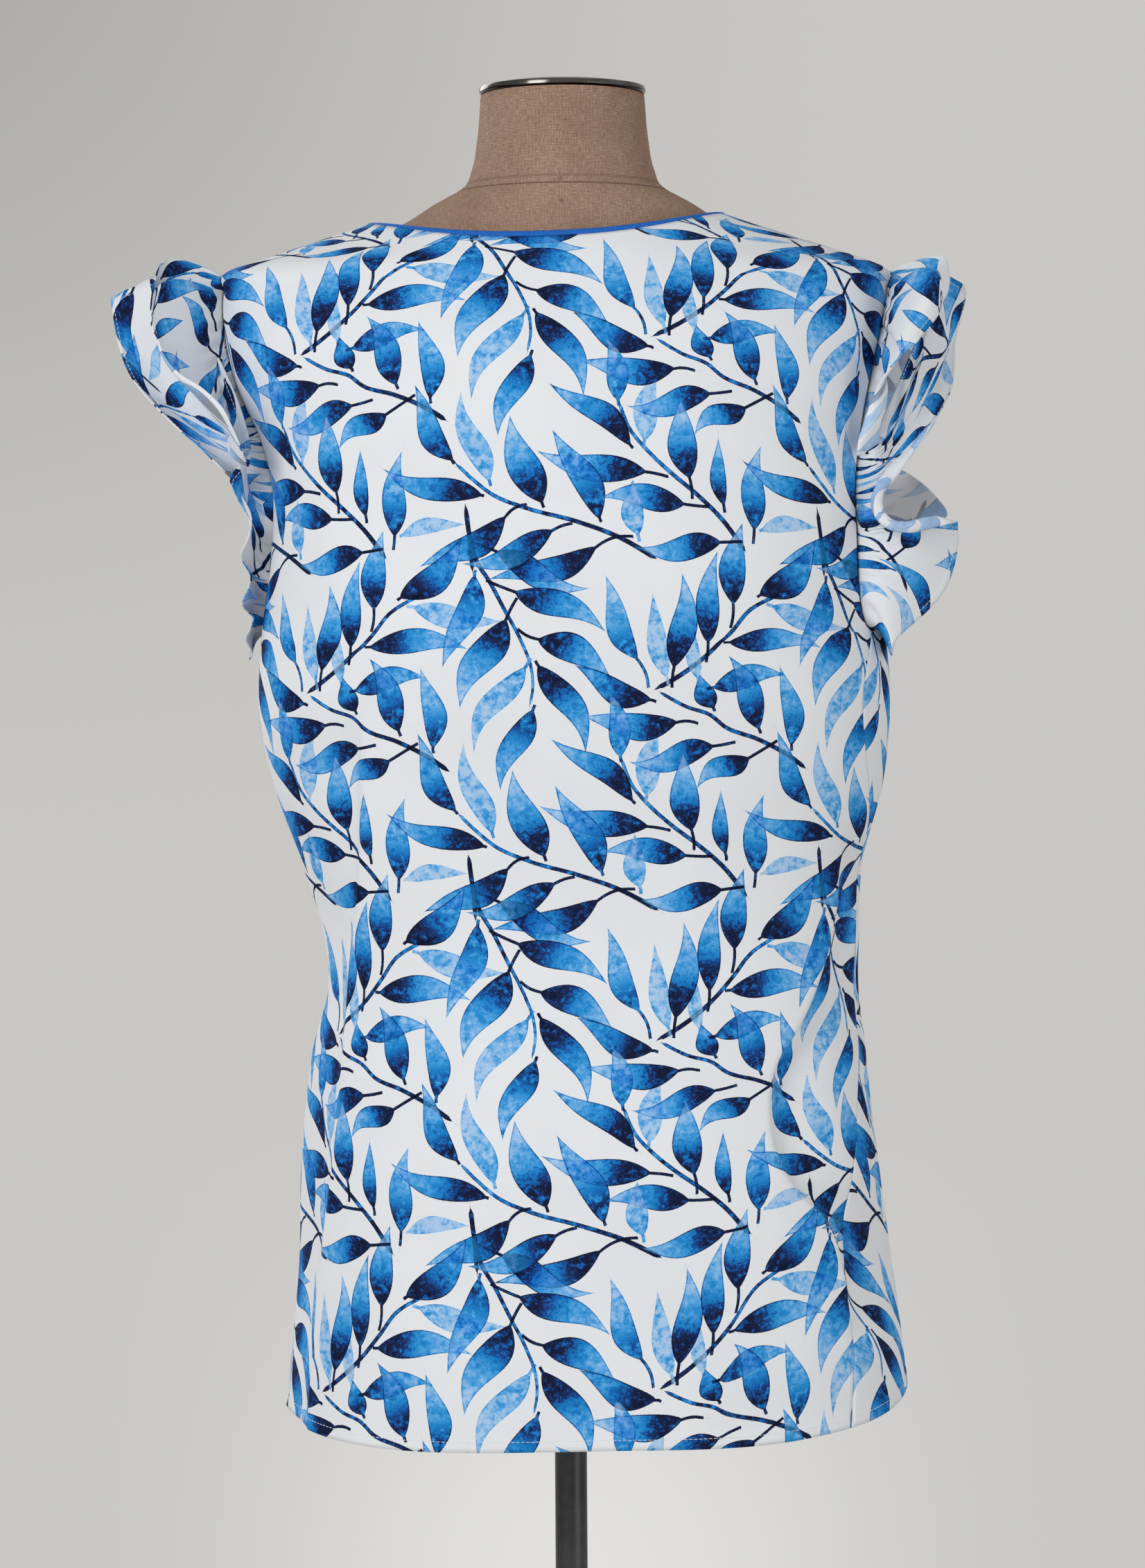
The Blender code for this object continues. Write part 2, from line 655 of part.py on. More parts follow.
def main():
    for old in list(bpy.data.objects):
        bpy.data.objects.remove(old, do_unlink=True)
    cloth = material("printed_cloth", CLOTH_WHITE, 0.8)
    panel("back", cloth)
    panel("front", cloth)
    ruffle("left", LEFT_RUFFLE, cloth)
    ruffle("right", RIGHT_RUFFLE, cloth)
    binding(material("blue_binding", BINDING_BLUE, 0.6))
    form_torso(material("linen_canvas", CANVAS_BROWN, 0.9))
    neck_cap(material("dark_chrome", CHROME, 0.25, 1))
    steel = material("black_steel", BLACK_STEEL, 0.35, 0.6)
    pole(steel)
    base(steel)


main()
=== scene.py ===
"""The looks of a sleeveless tunic top with ruffled armholes, worn by a limbless dress form.

Metres, +Z up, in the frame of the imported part: the origin is the middle of the base's underside, and
the back of the tunic faces -Y, towards the camera. Turns go round the body in degrees: 0 is the
centre back, 90 is the +X side, 180 the front. Heights of the tunic are above DATUM_Z.
"""

import math

import bpy
import numpy as np
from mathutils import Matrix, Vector


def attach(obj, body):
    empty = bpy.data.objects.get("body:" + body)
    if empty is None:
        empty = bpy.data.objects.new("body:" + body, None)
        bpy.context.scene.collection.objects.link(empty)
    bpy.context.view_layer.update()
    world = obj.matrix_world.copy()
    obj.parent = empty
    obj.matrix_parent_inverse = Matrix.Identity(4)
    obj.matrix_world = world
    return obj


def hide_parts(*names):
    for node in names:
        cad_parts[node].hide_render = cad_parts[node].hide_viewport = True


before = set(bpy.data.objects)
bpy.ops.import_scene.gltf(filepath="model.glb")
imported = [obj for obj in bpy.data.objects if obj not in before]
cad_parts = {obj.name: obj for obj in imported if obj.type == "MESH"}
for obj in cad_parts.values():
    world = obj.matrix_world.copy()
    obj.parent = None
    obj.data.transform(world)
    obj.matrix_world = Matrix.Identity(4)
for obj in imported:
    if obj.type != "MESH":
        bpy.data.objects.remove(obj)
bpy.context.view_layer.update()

MM = 0.001

# Driving dimensions of the part, as its source has them. The folds below are the looks' own, crisper
# than the solids', and so are the ruffles' hems, which have more waves.
DATUM_Z = 0.987  # height of the lower chest line, from which the section tables measure
CLOTH = 1.6 * MM  # wall of one layer of cloth
RUFFLE_CLOTH = 1.2 * MM  # wall of the ruffles' thinner, softer cloth
SEAM = 0.3 * MM  # space between two pieces
SIDE_Y = 5 * MM  # depth of the body's widest line

NECK_LEFT_X = -115 * MM  # where the neckline meets the shoulder seams
NECK_RIGHT_X = 94 * MM
NECK_LEFT_Z = 332 * MM  # above the datum, as are all the heights of the tunic
NECK_RIGHT_Z = 337 * MM
BACK_NECK_DROP = 14.5 * MM
FRONT_NECK_DROP = 72 * MM
BACK_NECK_POWER = 2.2
FRONT_NECK_POWER = 2.0
NECK_LIMITS = (150, 347)  # heights that the neckline lies between, in mm
BINDING_WIDTH = 3.0 * MM
BINDING_PROUD = 0.5 * MM  # how far the folded binding stands proud of the cloth, outside and inside

ROOT_INSET = 2.4 * MM  # from the armhole's edge to the middle of the ruffle's wall
SHOULDER_END_Z = 305 * MM
UNDERARM_Z = 88 * MM
ARMHOLE_MIDDLE = (SHOULDER_END_Z + UNDERARM_Z) / 2
ARMHOLE_HALF = (SHOULDER_END_Z - UNDERARM_Z) / 2
HEM_Z = -380 * MM

# Distances from the body's axis that turn lengths along its surface into degrees of turn.
ARMHOLE_REACH = 0.13
SIDE_REACH = 180 * MM
SHOULDER_REACH = 70 * MM

POLE_RADIUS = 9.5 * MM
BASE_RADIUS = 190 * MM
BASE_THICKNESS = 8 * MM
BOSS_RADIUS = 20 * MM
BOSS_TOP_Z = 34 * MM
CAP_RADIUS = 49.3 * MM
CAP_RIM = 4 * MM
CAP_TOP_Z = 416 * MM
FORM_FLOOR_Z = -300 * MM
FORM_NECK_Z = 407.7 * MM

SENSOR = 36  # mm, upright
LENS = 128  # mm
CAMERA_DISTANCE = 3.3
CAMERA_X = 3.4 * MM
CAMERA_ROLL = 0.0063  # radians


def table(columns, rows):
    """A dictionary of named columns."""
    return dict(zip(columns.split(), np.array(rows, float).T))


# The tunic's sections, in mm: height above the datum, reach to either side, back and front, and the
# power of the section's superellipse (2 is an ellipse, more is boxier, less is more pointed).
TUNIC_SECTIONS = table("z left right back front power", [
    (-400, -172, 202, -126, 123, 2.5),
    (-325, -164, 196, -124, 120, 2.5),
    (-278, -160, 190, -120, 118, 2.5),
    (-232, -159, 184, -115, 117, 2.5),
    (-186, -155.5, 178.5, -105, 118, 2.5),
    (-153, -150.7, 175.5, -98, 120, 2.5),
    (-120, -142, 172, -94, 123, 2.5),
    (-93, -143.4, 172.5, -93, 126, 2.5),
    (-46, -157, 175, -98, 134, 2.5),
    (0, -173, 187, -106, 143, 2.5),
    (46, -182, 191.6, -114, 150, 2.5),
    (86, -180, 189.5, -118, 150, 2.5),
    (139, -174, 186, -119.5, 134, 2.6),
    (176, -174, 182, -119, 120, 2.6),
    (204, -181, 182, -118, 109, 2.6),
    (232, -194, 185, -114, 101, 2.5),
    (265, -202, 190, -107, 95, 2.3),
    (291, -202, 192, -95, 88, 2.1),
    (305, -198, 190, -88, 83, 1.9),
    (312, -177, 172, -84, 79, 1.8),
    (322, -146, 141, -77, 73, 1.8),
    (332, -115, 110, -72, 68, 1.8),
    (338, -97, 92, -68.5, 64, 1.8),
    (348, -70, 66, -64, 58, 2),
])

# The dress form's sections, in mm, symmetrical from side to side. The form stays at least 4 mm inside
# the outer surface of the tunic's cloth.
FORM_SECTIONS = table("z half back front power", [
    (-300, 139, -99, 97, 2.3),
    (-294, 144, -105, 102, 2.3),
    (-270, 147, -107, 106, 2.3),
    (-232, 145, -101, 106, 2.3),
    (-186, 140, -90, 103, 2.3),
    (-153, 134, -82, 96, 2.3),
    (-107, 128, -77, 88, 2.3),
    (-46, 142, -87, 98, 2.3),
    (0, 160, -98, 112, 2.4),
    (46, 170, -108, 139, 2.4),
    (86, 170, -113, 144, 2.4),
    (139, 168, -114.5, 128, 2.5),
    (176, 168, -114, 114, 2.5),
    (199, 172, -113, 104, 2.5),
    (227, 179, -109.5, 96, 2.4),
    (260, 185, -102, 89, 2.25),
    (286, 186, -90.5, 82, 2.1),
    (300, 180, -83.5, 77, 1.9),
    (307, 165, -79.5, 73, 1.8),
    (317, 134, -72.5, 67, 1.8),
    (327, 105, -67, 62, 1.8),
    (333, 93, -64, 59, 1.85),
    (343, 77, -60, 55, 1.9),
    (353, 59.5, -56.5, 51, 2),
    (364, 54, -53.5, 48.5, 2),
    (381, 50.8, -52, 47, 2),
    (407.7, 48.5, -50.5, 46.5, 2),
])

# Where the side seams run, in degrees of turn, from the hem up to the underarm.
SIDE_SEAMS = table("z left right", [
    (-400, -96, 46),
    (-278, -96, 54),
    (-186, -96, 66),
    (-120, -96, 80),
    (-46, -95, 80),
    (0, -95, 64),
    (50, -94, 58),
    (88, -93, 64),
])

# The hem's height, in mm, by turn: lowest at the back, highest at the +X side.
HEM = table("turn z", [
    (-180, -362),
    (-135, -364),
    (-96, -364),
    (-70, -370),
    (-40, -380),
    (0, -380),
    (30, -378),
    (50, -370),
    (75, -357),
    (95, -350),
    (125, -351),
    (150, -358),
    (180, -362),
    (225, -364),
    (264, -364),
    (290, -370),
])

# The armholes: the underarm's turn, and how far the edge swings to the back and to the front of the
# line from the shoulder's end to the underarm, in degrees.
ARMHOLES = {
    "left": {"side": -1, "underarm": -93, "to_back": 17, "to_front": 18},
    "right": {"side": 1, "underarm": 64, "to_back": 14, "to_front": 26},
}

# Folds of the body cloth: its face, the side that it faces, its depth and width, and its path's
# heights and sideways places, in mm. Beyond the path, on the fold's own side, the cloth sinks in over
# the width, by the depth at most, and comes back.
FOLDS = [
    ("back", -1, 6, 13, (-360, -300, -190, -130, -40, 10), (-152, -147, -134, -129, -120, -118)),
    ("back", 1, 9, 15, (-290, -252, -230, -190, -159, -143, -104, -70),
     (160, 148, 128, 116, 122, 133, 150, 158)),
    ("front", -1, 6, 18, (-380, -280, -180, -90), (-118, -110, -104, -108)),
    ("front", 1, 6, 20, (-380, -260, -150, -60), (128, 118, 112, 120)),
    ("front", 1, 4, 18, (-380, -300, -220, -170), (20, 24, 31, 36)),
]
FOLD_CRISP = 1.25  # 1 turns down in a sharp line, 2 in a soft one
FOLD_FADE = 45 * MM  # length over which a fold dies out at each end
FOLD_FACING = 0.4  # cosine of the turn below which a fold dies out towards the side

# The ruffles' hems. Each row is a place on the armhole (0 at the shoulder, 180 at the underarm, plus
# to the back and minus to the front) and where the hem lies, in mm: out from the middle of the body, to
# the back, and above the datum. The cloth rises that far from the seam before it bends over, and lean
# turns it outwards (plus) or inwards (minus) from the body's normal.
LEFT_RUFFLE = table("theta out back up rise lean", [
    (-180, 188, -10, 75, 6, 1),
    (-172, 188, -20, 78, 6, 1),
    (-164, 188, -30, 84, 7, 1),
    (-155, 188, -40, 92, 8, 0.8),
    (-146, 188, -48, 102, 9, 0.8),
    (-137, 187, -58, 114, 11, 0.5),
    (-128, 186, -66, 128, 13, 0.3),
    (-119, 188, -66, 142, 14, 0.5),
    (-110, 190, -60, 156, 16, 0.9),
    (-102, 192, -62, 170, 18, 0.8),
    (-94, 190, -72, 182, 20, 0.4),
    (-86, 198, -82, 194, 24, 0.2),
    (-78, 212, -76, 205, 27, 0.5),
    (-71, 230, -58, 220, 29, 0.9),
    (-64, 240, -44, 242, 30, 1),
    (-57, 237, -46, 254, 31, 0.9),
    (-50, 224, -60, 252, 33, 0.6),
    (-42, 213, -74, 250, 36, 0.4),
    (-33, 216, -80, 262, 38, 0.5),
    (-23, 232, -56, 284, 38, 0.8),
    (-12, 236, -26, 302, 36, 1),
    (0, 233, 4, 309, 34, 1),
    (10, 237, 28, 305, 40, 0.2),
    (21, 239, 50, 292, 44, -0.4),
    (32, 240, 62, 276, 46, -0.7),
    (42, 238, 70, 261, 46, -0.8),
    (51, 234, 76, 249, 46, -0.8),
    (57, 224, 80, 237, 46, -0.8),
    (62, 211, 84, 229, 46, -0.8),
    (66.5, 200, 86, 219, 44, -0.8),
    (70.5, 193, 86, 209, 42, -0.8),
    (74, 188, 84, 198, 40, -0.7),
    (77, 185, 78, 189, 36, -0.6),
    (79, 183, 66, 186, 32, -0.2),
    (80.5, 184, 50, 204, 28, 0.3),
    (81.7, 196, 34, 238, 28, 0.8),
    (82.9, 216, 18, 274, 30, 1),
    (84.2, 240, 4, 299, 30, 1),
    (85.3, 254, -1, 296, 30, 1),
    (86.2, 264, -3, 292, 30, 1),
    (86.7, 268, -4, 289, 30, 1),
    (87.3, 267.5, -3, 283, 30, 1),
    (88.3, 266, 0, 274, 29, 1),
    (89.5, 263, 6, 260, 28, 1),
    (91.5, 257, 14, 245, 26, 1),
    (93.5, 249, 22, 233, 24, 1),
    (96, 238, 30, 221, 22, 1),
    (98.5, 227, 38, 210, 20, 1),
    (101, 215, 44, 200, 18, 1),
    (103.5, 205, 48, 190, 16, 0.9),
    (106, 198, 46, 184, 15, 0.6),
    (108.5, 190, 36, 186, 14, 0.4),
    (111, 186, 42, 190, 15, 0.2),
    (113.5, 190, 52, 186, 15, 0.2),
    (116.5, 195, 50, 179, 14, 0.5),
    (120, 189, 40, 170, 12, 0.8),
    (124, 184, 36, 158, 11, 0.8),
    (129, 185, 44, 146, 10, 0.3),
    (134, 190, 36, 135, 10, 0.8),
    (139, 185, 24, 124, 9, 0.8),
    (144, 186, 36, 116, 9, 0.3),
    (149, 190, 26, 106, 9, 0.8),
    (154, 184, 14, 99, 8, 0.9),
    (159, 186, 22, 92, 8, 0.3),
    (164, 189, 10, 86, 7, 1),
    (172, 186, 0, 79, 6, 1),
    (180, 188, -10, 75, 6, 1),
])
RIGHT_RUFFLE = table("theta out back up rise lean", [
    (-180, 190, 46, 74, 7, 1),
    (-173, 191, 34, 76, 8, 1),
    (-166, 193, 20, 80, 9, 1),
    (-158, 196, 6, 88, 10, 1),
    (-150, 199, -8, 97, 11, 1),
    (-142, 198, -22, 106, 12, 0.9),
    (-134, 205, -22, 128, 14, 0.8),
    (-126, 218, -14, 146, 16, 0.9),
    (-119, 227, -12, 158, 18, 1),
    (-112, 222, -16, 168, 19, 1),
    (-105, 213, -24, 178, 20, 0.9),
    (-98, 203, -40, 186, 22, 0.8),
    (-92, 194, -62, 191, 22, 0.5),
    (-86, 191, -80, 196, 24, 0.3),
    (-78, 199, -74, 208, 27, 0.5),
    (-71, 213, -54, 222, 29, 0.9),
    (-64, 222, -42, 240, 30, 1),
    (-57, 219, -46, 252, 31, 0.9),
    (-50, 208, -62, 250, 33, 0.6),
    (-42, 200, -78, 250, 36, 0.4),
    (-33, 206, -76, 262, 38, 0.5),
    (-23, 218, -54, 282, 38, 0.8),
    (-12, 222, -32, 300, 36, 1),
    (0, 222, -6, 307, 34, 1),
    (8, 221, 12, 306, 42, 0.1),
    (16, 219, 34, 299, 56, -0.6),
    (24, 219, 50, 287, 66, -0.8),
    (32, 218, 60, 273, 72, -0.9),
    (38, 210, 68, 262, 72, -0.95),
    (44, 200, 76, 250, 68, -0.95),
    (51, 191, 80, 239, 60, -0.9),
    (58, 183, 79, 228, 52, -0.9),
    (66, 177, 76, 217, 45, -0.8),
    (73, 173, 76, 206, 38, -0.7),
    (80, 170, 76, 196, 32, -0.6),
    (85, 170, 72, 189, 27, -0.4),
    (87.5, 177, 60, 196, 24, 0),
    (89.5, 187, 46, 215, 24, 0.4),
    (91, 202, 30, 248, 26, 0.8),
    (92.5, 215, 14, 280, 28, 1),
    (93.7, 223, 4, 298, 30, 1),
    (94.8, 232, -2, 297, 30, 1),
    (96, 238, -4, 291, 30, 1),
    (97.5, 235, 2, 276, 29, 1),
    (99, 231, 10, 261, 28, 1),
    (100.5, 230, 18, 246, 28, 1),
    (102, 227, 28, 230, 27, 1),
    (103.5, 219, 38, 216, 27, 0.9),
    (105, 209, 48, 203, 26, 0.9),
    (106.5, 198, 57, 191, 25, 0.8),
    (108, 190, 66, 181, 23, 0.6),
    (110, 184, 75, 170, 21, 0.5),
    (112, 183, 83, 159, 20, 0.5),
    (114.5, 191, 87, 151, 22, 0.5),
    (117, 207, 76, 152, 26, 0.5),
    (119.5, 223, 56, 157, 27, 0.9),
    (122, 229, 44, 147, 26, 1),
    (125, 228, 39, 130, 26, 1),
    (128.5, 222, 42, 113, 25, 0.9),
    (132, 212, 47, 101, 22, 0.8),
    (136, 203, 52, 93, 19, 0.8),
    (141, 195, 57, 86, 16, 0.7),
    (147, 190, 60, 80, 13, 0.7),
    (153, 189, 58, 76, 12, 0.8),
    (161, 190, 54, 74, 10, 0.9),
    (170, 190, 50, 74, 8, 1),
    (180, 190, 46, 74, 7, 1),
])


def spline(knots, values, at):
    """A smooth curve through the points (knots, values), read at the given places."""
    slopes = np.gradient(values, knots)
    at = np.clip(at, knots[0], knots[-1])
    k = np.clip(np.searchsorted(knots, at) - 1, 0, len(knots) - 2)
    span = knots[k + 1] - knots[k]
    u = (at - knots[k]) / span
    return (
        values[k] * (1 + 2 * u) * (1 - u) ** 2
        + values[k + 1] * (3 - 2 * u) * u**2
        + span * (slopes[k] * u * (1 - u) ** 2 - slopes[k + 1] * (1 - u) * u**2)
    )


def ring(left, right, back, front, power, turn):
    """The point at this turn on a body section: a superellipse whose back and front differ."""
    c = np.cos(np.radians(turn))
    s = np.sin(np.radians(turn))
    r = (np.abs(s) ** power + np.abs(c) ** power) ** (-1 / power)
    x = (left + right) / 2 + (right - left) / 2 * s * r
    y = SIDE_Y + np.where(c > 0, SIDE_Y - back, front - SIDE_Y) * -c * r
    return x, y


def unit(vectors):
    return vectors / np.linalg.norm(vectors, axis=-1, keepdims=True)


def smoothstep(u):
    u = np.clip(u, 0, 1)
    return u * u * (3 - 2 * u)


def fold_sink(x, z, turn):
    """How far the folds push the cloth in at this place."""
    sink = np.zeros(np.broadcast(x, z, turn).shape)
    facing = np.cos(np.radians(turn)) / FOLD_FACING
    for face, side, depth, width, *path in FOLDS:
        path_z, path_x = (MM * np.array(values) for values in path)
        beyond = np.maximum(side * (x - spline(path_z, path_x, z)) / (width * MM), 0)
        profile = (beyond * np.exp(1 - beyond)) ** FOLD_CRISP
        ends = smoothstep((z - path_z[0] + FOLD_FADE) / FOLD_FADE)
        ends = ends * smoothstep((path_z[-1] + FOLD_FADE - z) / FOLD_FADE)
        on_face = smoothstep(facing if face == "back" else -facing)
        sink = sink + depth * MM * profile * ends * on_face
    return sink


def body(turn, z):
    """The tunic's outer surface at this turn and height above the datum, as an array of points."""
    turn, z = np.broadcast_arrays(np.asarray(turn, float), np.asarray(z, float))
    size = {name: spline(TUNIC_SECTIONS["z"] * MM, TUNIC_SECTIONS[name], z) for name in TUNIC_SECTIONS}
    left, right, back, front = (MM * size[name] for name in ("left", "right", "back", "front"))
    x, y = ring(left, right, back, front, size["power"], turn)
    middle = (left + right) / 2
    away = np.hypot(x - middle, y - SIDE_Y) + 1e-9
    sink = fold_sink(x, z, turn)
    x = x - sink * (x - middle) / away
    y = y - sink * (y - SIDE_Y) / away
    return np.stack([x, y, z + DATUM_Z], axis=-1)


def body_normal(turn, z):
    """The unit normal of the tunic's surface, pointing out."""
    small_turn, small_z = 0.2, 0.5 * MM
    along = body(turn + small_turn, z) - body(turn - small_turn, z)
    up = body(turn, z + small_z) - body(turn, z - small_z)
    return unit(np.cross(along, up))


def neck_height(x, face, widen):
    """The neckline's height at this sideways place. widen makes the opening that much larger all round."""
    half = (NECK_RIGHT_X - NECK_LEFT_X) / 2 + widen
    along = (x - (NECK_RIGHT_X + NECK_LEFT_X) / 2) / half
    line = NECK_LEFT_Z + (NECK_RIGHT_Z - NECK_LEFT_Z) * (along + 1) / 2
    u = np.minimum(np.abs(along), 1)
    if face == "back":
        return line - (BACK_NECK_DROP + widen) * (1 - u**BACK_NECK_POWER)
    return line - (FRONT_NECK_DROP + widen) * (1 - u**FRONT_NECK_POWER) ** (1 / FRONT_NECK_POWER)


def neckline(turn, face, widen):
    """The height at which the line of constant turn meets the neckline, by halving the interval."""
    low, high = (np.full(np.shape(turn), limit * MM) for limit in NECK_LIMITS)
    for _ in range(40):
        middle = (low + high) / 2
        above = middle > neck_height(body(turn, middle)[..., 0], face, widen)
        high = np.where(above, middle, high)
        low = np.where(above, low, middle)
    return low


def hem_height(turn):
    return spline(HEM["turn"], HEM["z"] * MM, turn)


def armhole(side, theta, shrink=0.0):
    """The turn and height of an armhole's edge at theta degrees from the shoulder."""
    hole = ARMHOLES[side]
    c, s = np.cos(np.radians(theta)), np.sin(np.radians(theta))
    line = 90 * hole["side"] + (hole["underarm"] - 90 * hole["side"]) * (1 - c) / 2
    swing = np.where(np.asarray(theta) > 0, hole["to_back"], hole["to_front"])
    swing = swing - np.degrees(shrink / ARMHOLE_REACH)
    return line - hole["side"] * swing * s, ARMHOLE_MIDDLE + (ARMHOLE_HALF - shrink) * c


def edge_turn(side, face, z):
    """The turn of a panel's edge at this height: side seam, then armhole, then shoulder seam."""
    hole = ARMHOLES[side]
    seam = spline(SIDE_SEAMS["z"] * MM, SIDE_SEAMS[side], z)
    theta = np.degrees(np.arccos(np.clip((z - ARMHOLE_MIDDLE) / ARMHOLE_HALF, -1, 1)))
    hole_edge = armhole(side, theta if face == "back" else -theta)[0]
    turn = np.where(z < UNDERARM_Z, seam, np.where(z < SHOULDER_END_Z, hole_edge, 90 * hole["side"]))
    reach = np.where(z < SHOULDER_END_Z, SIDE_REACH, SHOULDER_REACH)
    inward = -hole["side"] if face == "back" else hole["side"]
    return turn + inward * np.degrees(SEAM / 2 / reach)


def panel_rows(count_body, count_armhole, count_shoulder):
    """Row places from 0 at the hem to 1 at the neckline, dense where the cloth turns over the shoulder."""
    length = NECK_LEFT_Z - HEM_Z
    underarm = (UNDERARM_Z - HEM_Z) / length
    shoulder = (SHOULDER_END_Z - HEM_Z) / length
    swing = (1 - np.cos(np.linspace(0, math.pi, count_armhole + 1))) / 2
    return np.concatenate([
        np.linspace(0, underarm, count_body + 1)[:-1],
        underarm + (shoulder - underarm) * swing[:-1],
        np.linspace(shoulder, 1, count_shoulder + 1),
    ])


def panel_places(face, columns, rows):
    """The turn and height of each point of a panel's grid."""
    widen = BINDING_WIDTH + SEAM
    across = np.linspace(-1, 1, columns)
    places = panel_rows(*rows)
    middle = 0 if face == "back" else 180
    seams = SIDE_SEAMS["left"][0], SIDE_SEAMS["right"][0]
    first, last = seams if face == "back" else (seams[1], seams[0] + 360)
    top = neckline(middle + 90 * across, face, widen)
    bottom = hem_height(first + (last - first) * (across + 1) / 2)
    z = bottom[:, None] + (top - bottom)[:, None] * places[None, :]
    sides = ("left", "right") if face == "back" else ("right", "left")
    start = edge_turn(sides[0], face, z[0])
    end = edge_turn(sides[1], face, z[-1])
    if face == "front":
        end = end + 360
    starts = start - (first + (middle - 90 - first) * places)
    ends = end - (last + (middle + 90 - last) * places)
    u = (across[:, None] + 1) / 2
    plain = (first + (last - first) * u) * (1 - places) + (middle - 90 + 180 * u) * places
    return plain + starts * (1 - u) ** 3 + ends * u**3, z


def ruffle_points(side, rows, columns=120, across=5):
    """A ruffle's middle surface: a strip that leaves the armhole squarely and bends over to its hem."""
    out = ARMHOLES[side]["side"]
    knots = np.arange(len(rows["theta"]), dtype=float)
    at = np.linspace(0, knots[-1], columns, endpoint=False)
    drop = {name: spline(knots, rows[name], at) for name in rows}
    turn, z = armhole(side, drop["theta"], ROOT_INSET)
    normal = body_normal(turn, z)
    root = body(turn, z) - CLOTH / 2 * normal
    hem = MM * np.stack([out * drop["out"], -drop["back"], drop["up"]], axis=-1) + [0, 0, DATUM_Z]
    leave = normal + drop["lean"][:, None] * [out, 0, 0]
    for _ in range(8):
        leave = (np.roll(leave, 1, axis=0) + 2 * leave + np.roll(leave, -1, axis=0)) / 4
    bend = root + MM * drop["rise"][:, None] * unit(leave)
    r = np.linspace(0, 1, across)[None, :, None]
    return root[:, None] * (1 - r) ** 2 + 2 * bend[:, None] * r * (1 - r) + hem[:, None] * r**2


def ring_normal(points):
    """The unit normals of a grid of points whose first column follows its last."""
    along = np.roll(points, -1, axis=0) - np.roll(points, 1, axis=0)
    return unit(np.cross(along, np.gradient(points, axis=1)))


# Sizes that only the looks need
SHEET = 0.5 * MM  # thickness of the cloth that shows
HEM_DEPTH = 6.5 * MM  # from the tunic's lower edge to its stitch line
RUFFLE_HEM_DEPTH = 3.8 * MM
HEM_FOLD = 0.35 * MM  # how far the turned-up hem stands proud
HEM_EDGE = 0.4 * MM  # half the width over which it steps down to the cloth
BINDING_ROUND = 0.92  # at 1 the strip's section is rounded right down to its edges, at 0 it is square
PANEL_GRID = {"columns": 184, "rows": (152, 84, 16)}
RUFFLE_GRID = {"columns": 960, "across": 36}
RUFFLE_MEASURED_ROW = -5  # the row, counted from the hem, along which a ruffle's length is taken
RUFFLE_PLACE = {"left": (60, 30), "right": (0, 40)}  # where the strips are cut from the print, in mm
GATHERS = 86  # fine waves round an armhole
GATHER_HEIGHT = 0.5  # mm
GATHER_PLACE = 0.2  # where they are deepest, as a share of the way from the seam to the hem
GATHER_SPREAD = 0.16  # and how far they spread, as the same share
CREASES = 23  # softer waves round the ruffle
CREASE_HEIGHT = 0.55  # mm
CREASE_SLANT = 216 / 7  # radians of wave for each metre towards the hem
CREASE_FADES = (0.4, 0.25)  # shares of that way over which they rise from the seam and die at the hem
PRINT_LEVEL = 70 * MM  # height at which the back's print is charted
FORM_COLUMNS = 160
FORM_ROWS = ((-300, -285, 12), (-283, 300, 110), (302, 407.7, 150))  # from, to and how many, in mm

# Where a ruffle's hem rolls over outwards and shows its wrong side: the stretch of the armhole, in
# degrees of theta, over which it does, the most that it turns, in degrees, and the cloth that rolls.
HEM_ROLLS = {
    "left": [{"start": 38, "end": 72, "turn": 70, "depth": 5 * MM}],
    "right": [
        {"start": 40, "end": 84, "turn": 55, "depth": 5 * MM},
        {"start": 104, "end": 122, "turn": 175, "depth": 10 * MM},
    ],
}
ROLL_EDGE = 0.2  # the share of a stretch over which its roll comes and goes at each end
NECK_SEAM_Z = 350.3 * MM  # the seam round the foot of the form's neck
NECK_FOLD_Z = 354.8 * MM  # and the edge of its turned-in canvas
GROOVES = ((NECK_SEAM_Z, 0.5, 0.9), (NECK_FOLD_Z, 0.3, 1.1))  # and their depths and widths, in mm
NECK_MARKS = ((-1.8, 352.6), (-0.8, 338.8))  # two reddish marks there: sideways and up, in mm
CAP_PAINTED_SHADE = 1.4 * MM  # height of the painted shade along the cap rim's lower edge, on average

# The print: one repeat, in mm, right and down from its top left corner. Each branch is a smooth line
# through its points, with half-widths and tones (0 pale to 1 navy) at its two ends.
REPEAT = (209.0, 206.0)
REPEAT_CORNER = (-126.0, 172.0)  # where a repeat's corner lies on the back, from its centre line
BRANCHES = [
    (((63, 190), (73, 200), (85, 210), (105, 219), (132, 227), (158, 237), (179, 249)),
     (0.9, 1.3), (0.35, 0.95)),
    (((-30, 120), (-14, 129), (0, 134), (9, 141), (28, 148), (46, 157), (59, 166)),
     (0.9, 1.3), (0.5, 0.95)),
    (((157, 158), (164, 175), (175, 188), (187, 199), (202, 211), (216, 224), (231, 243)),
     (0.9, 1.3), (0.35, 0.9)),
    (((-32, 119), (-18, 111), (0, 97), (13, 83), (24, 70), (38, 62), (58, 55)),
     (1.3, 0.9), (0.95, 0.4)),
    (((69, 9), (72, 30), (75, 41), (83, 55), (91, 71), (101, 91), (106, 105), (107, 117), (105, 129)),
     (1.3, 0.7), (0.95, 0.3)),
    (((71, 25), (72, 36), (73, 48)), (1.1, 1.1), (0.95, 0.9)),
]
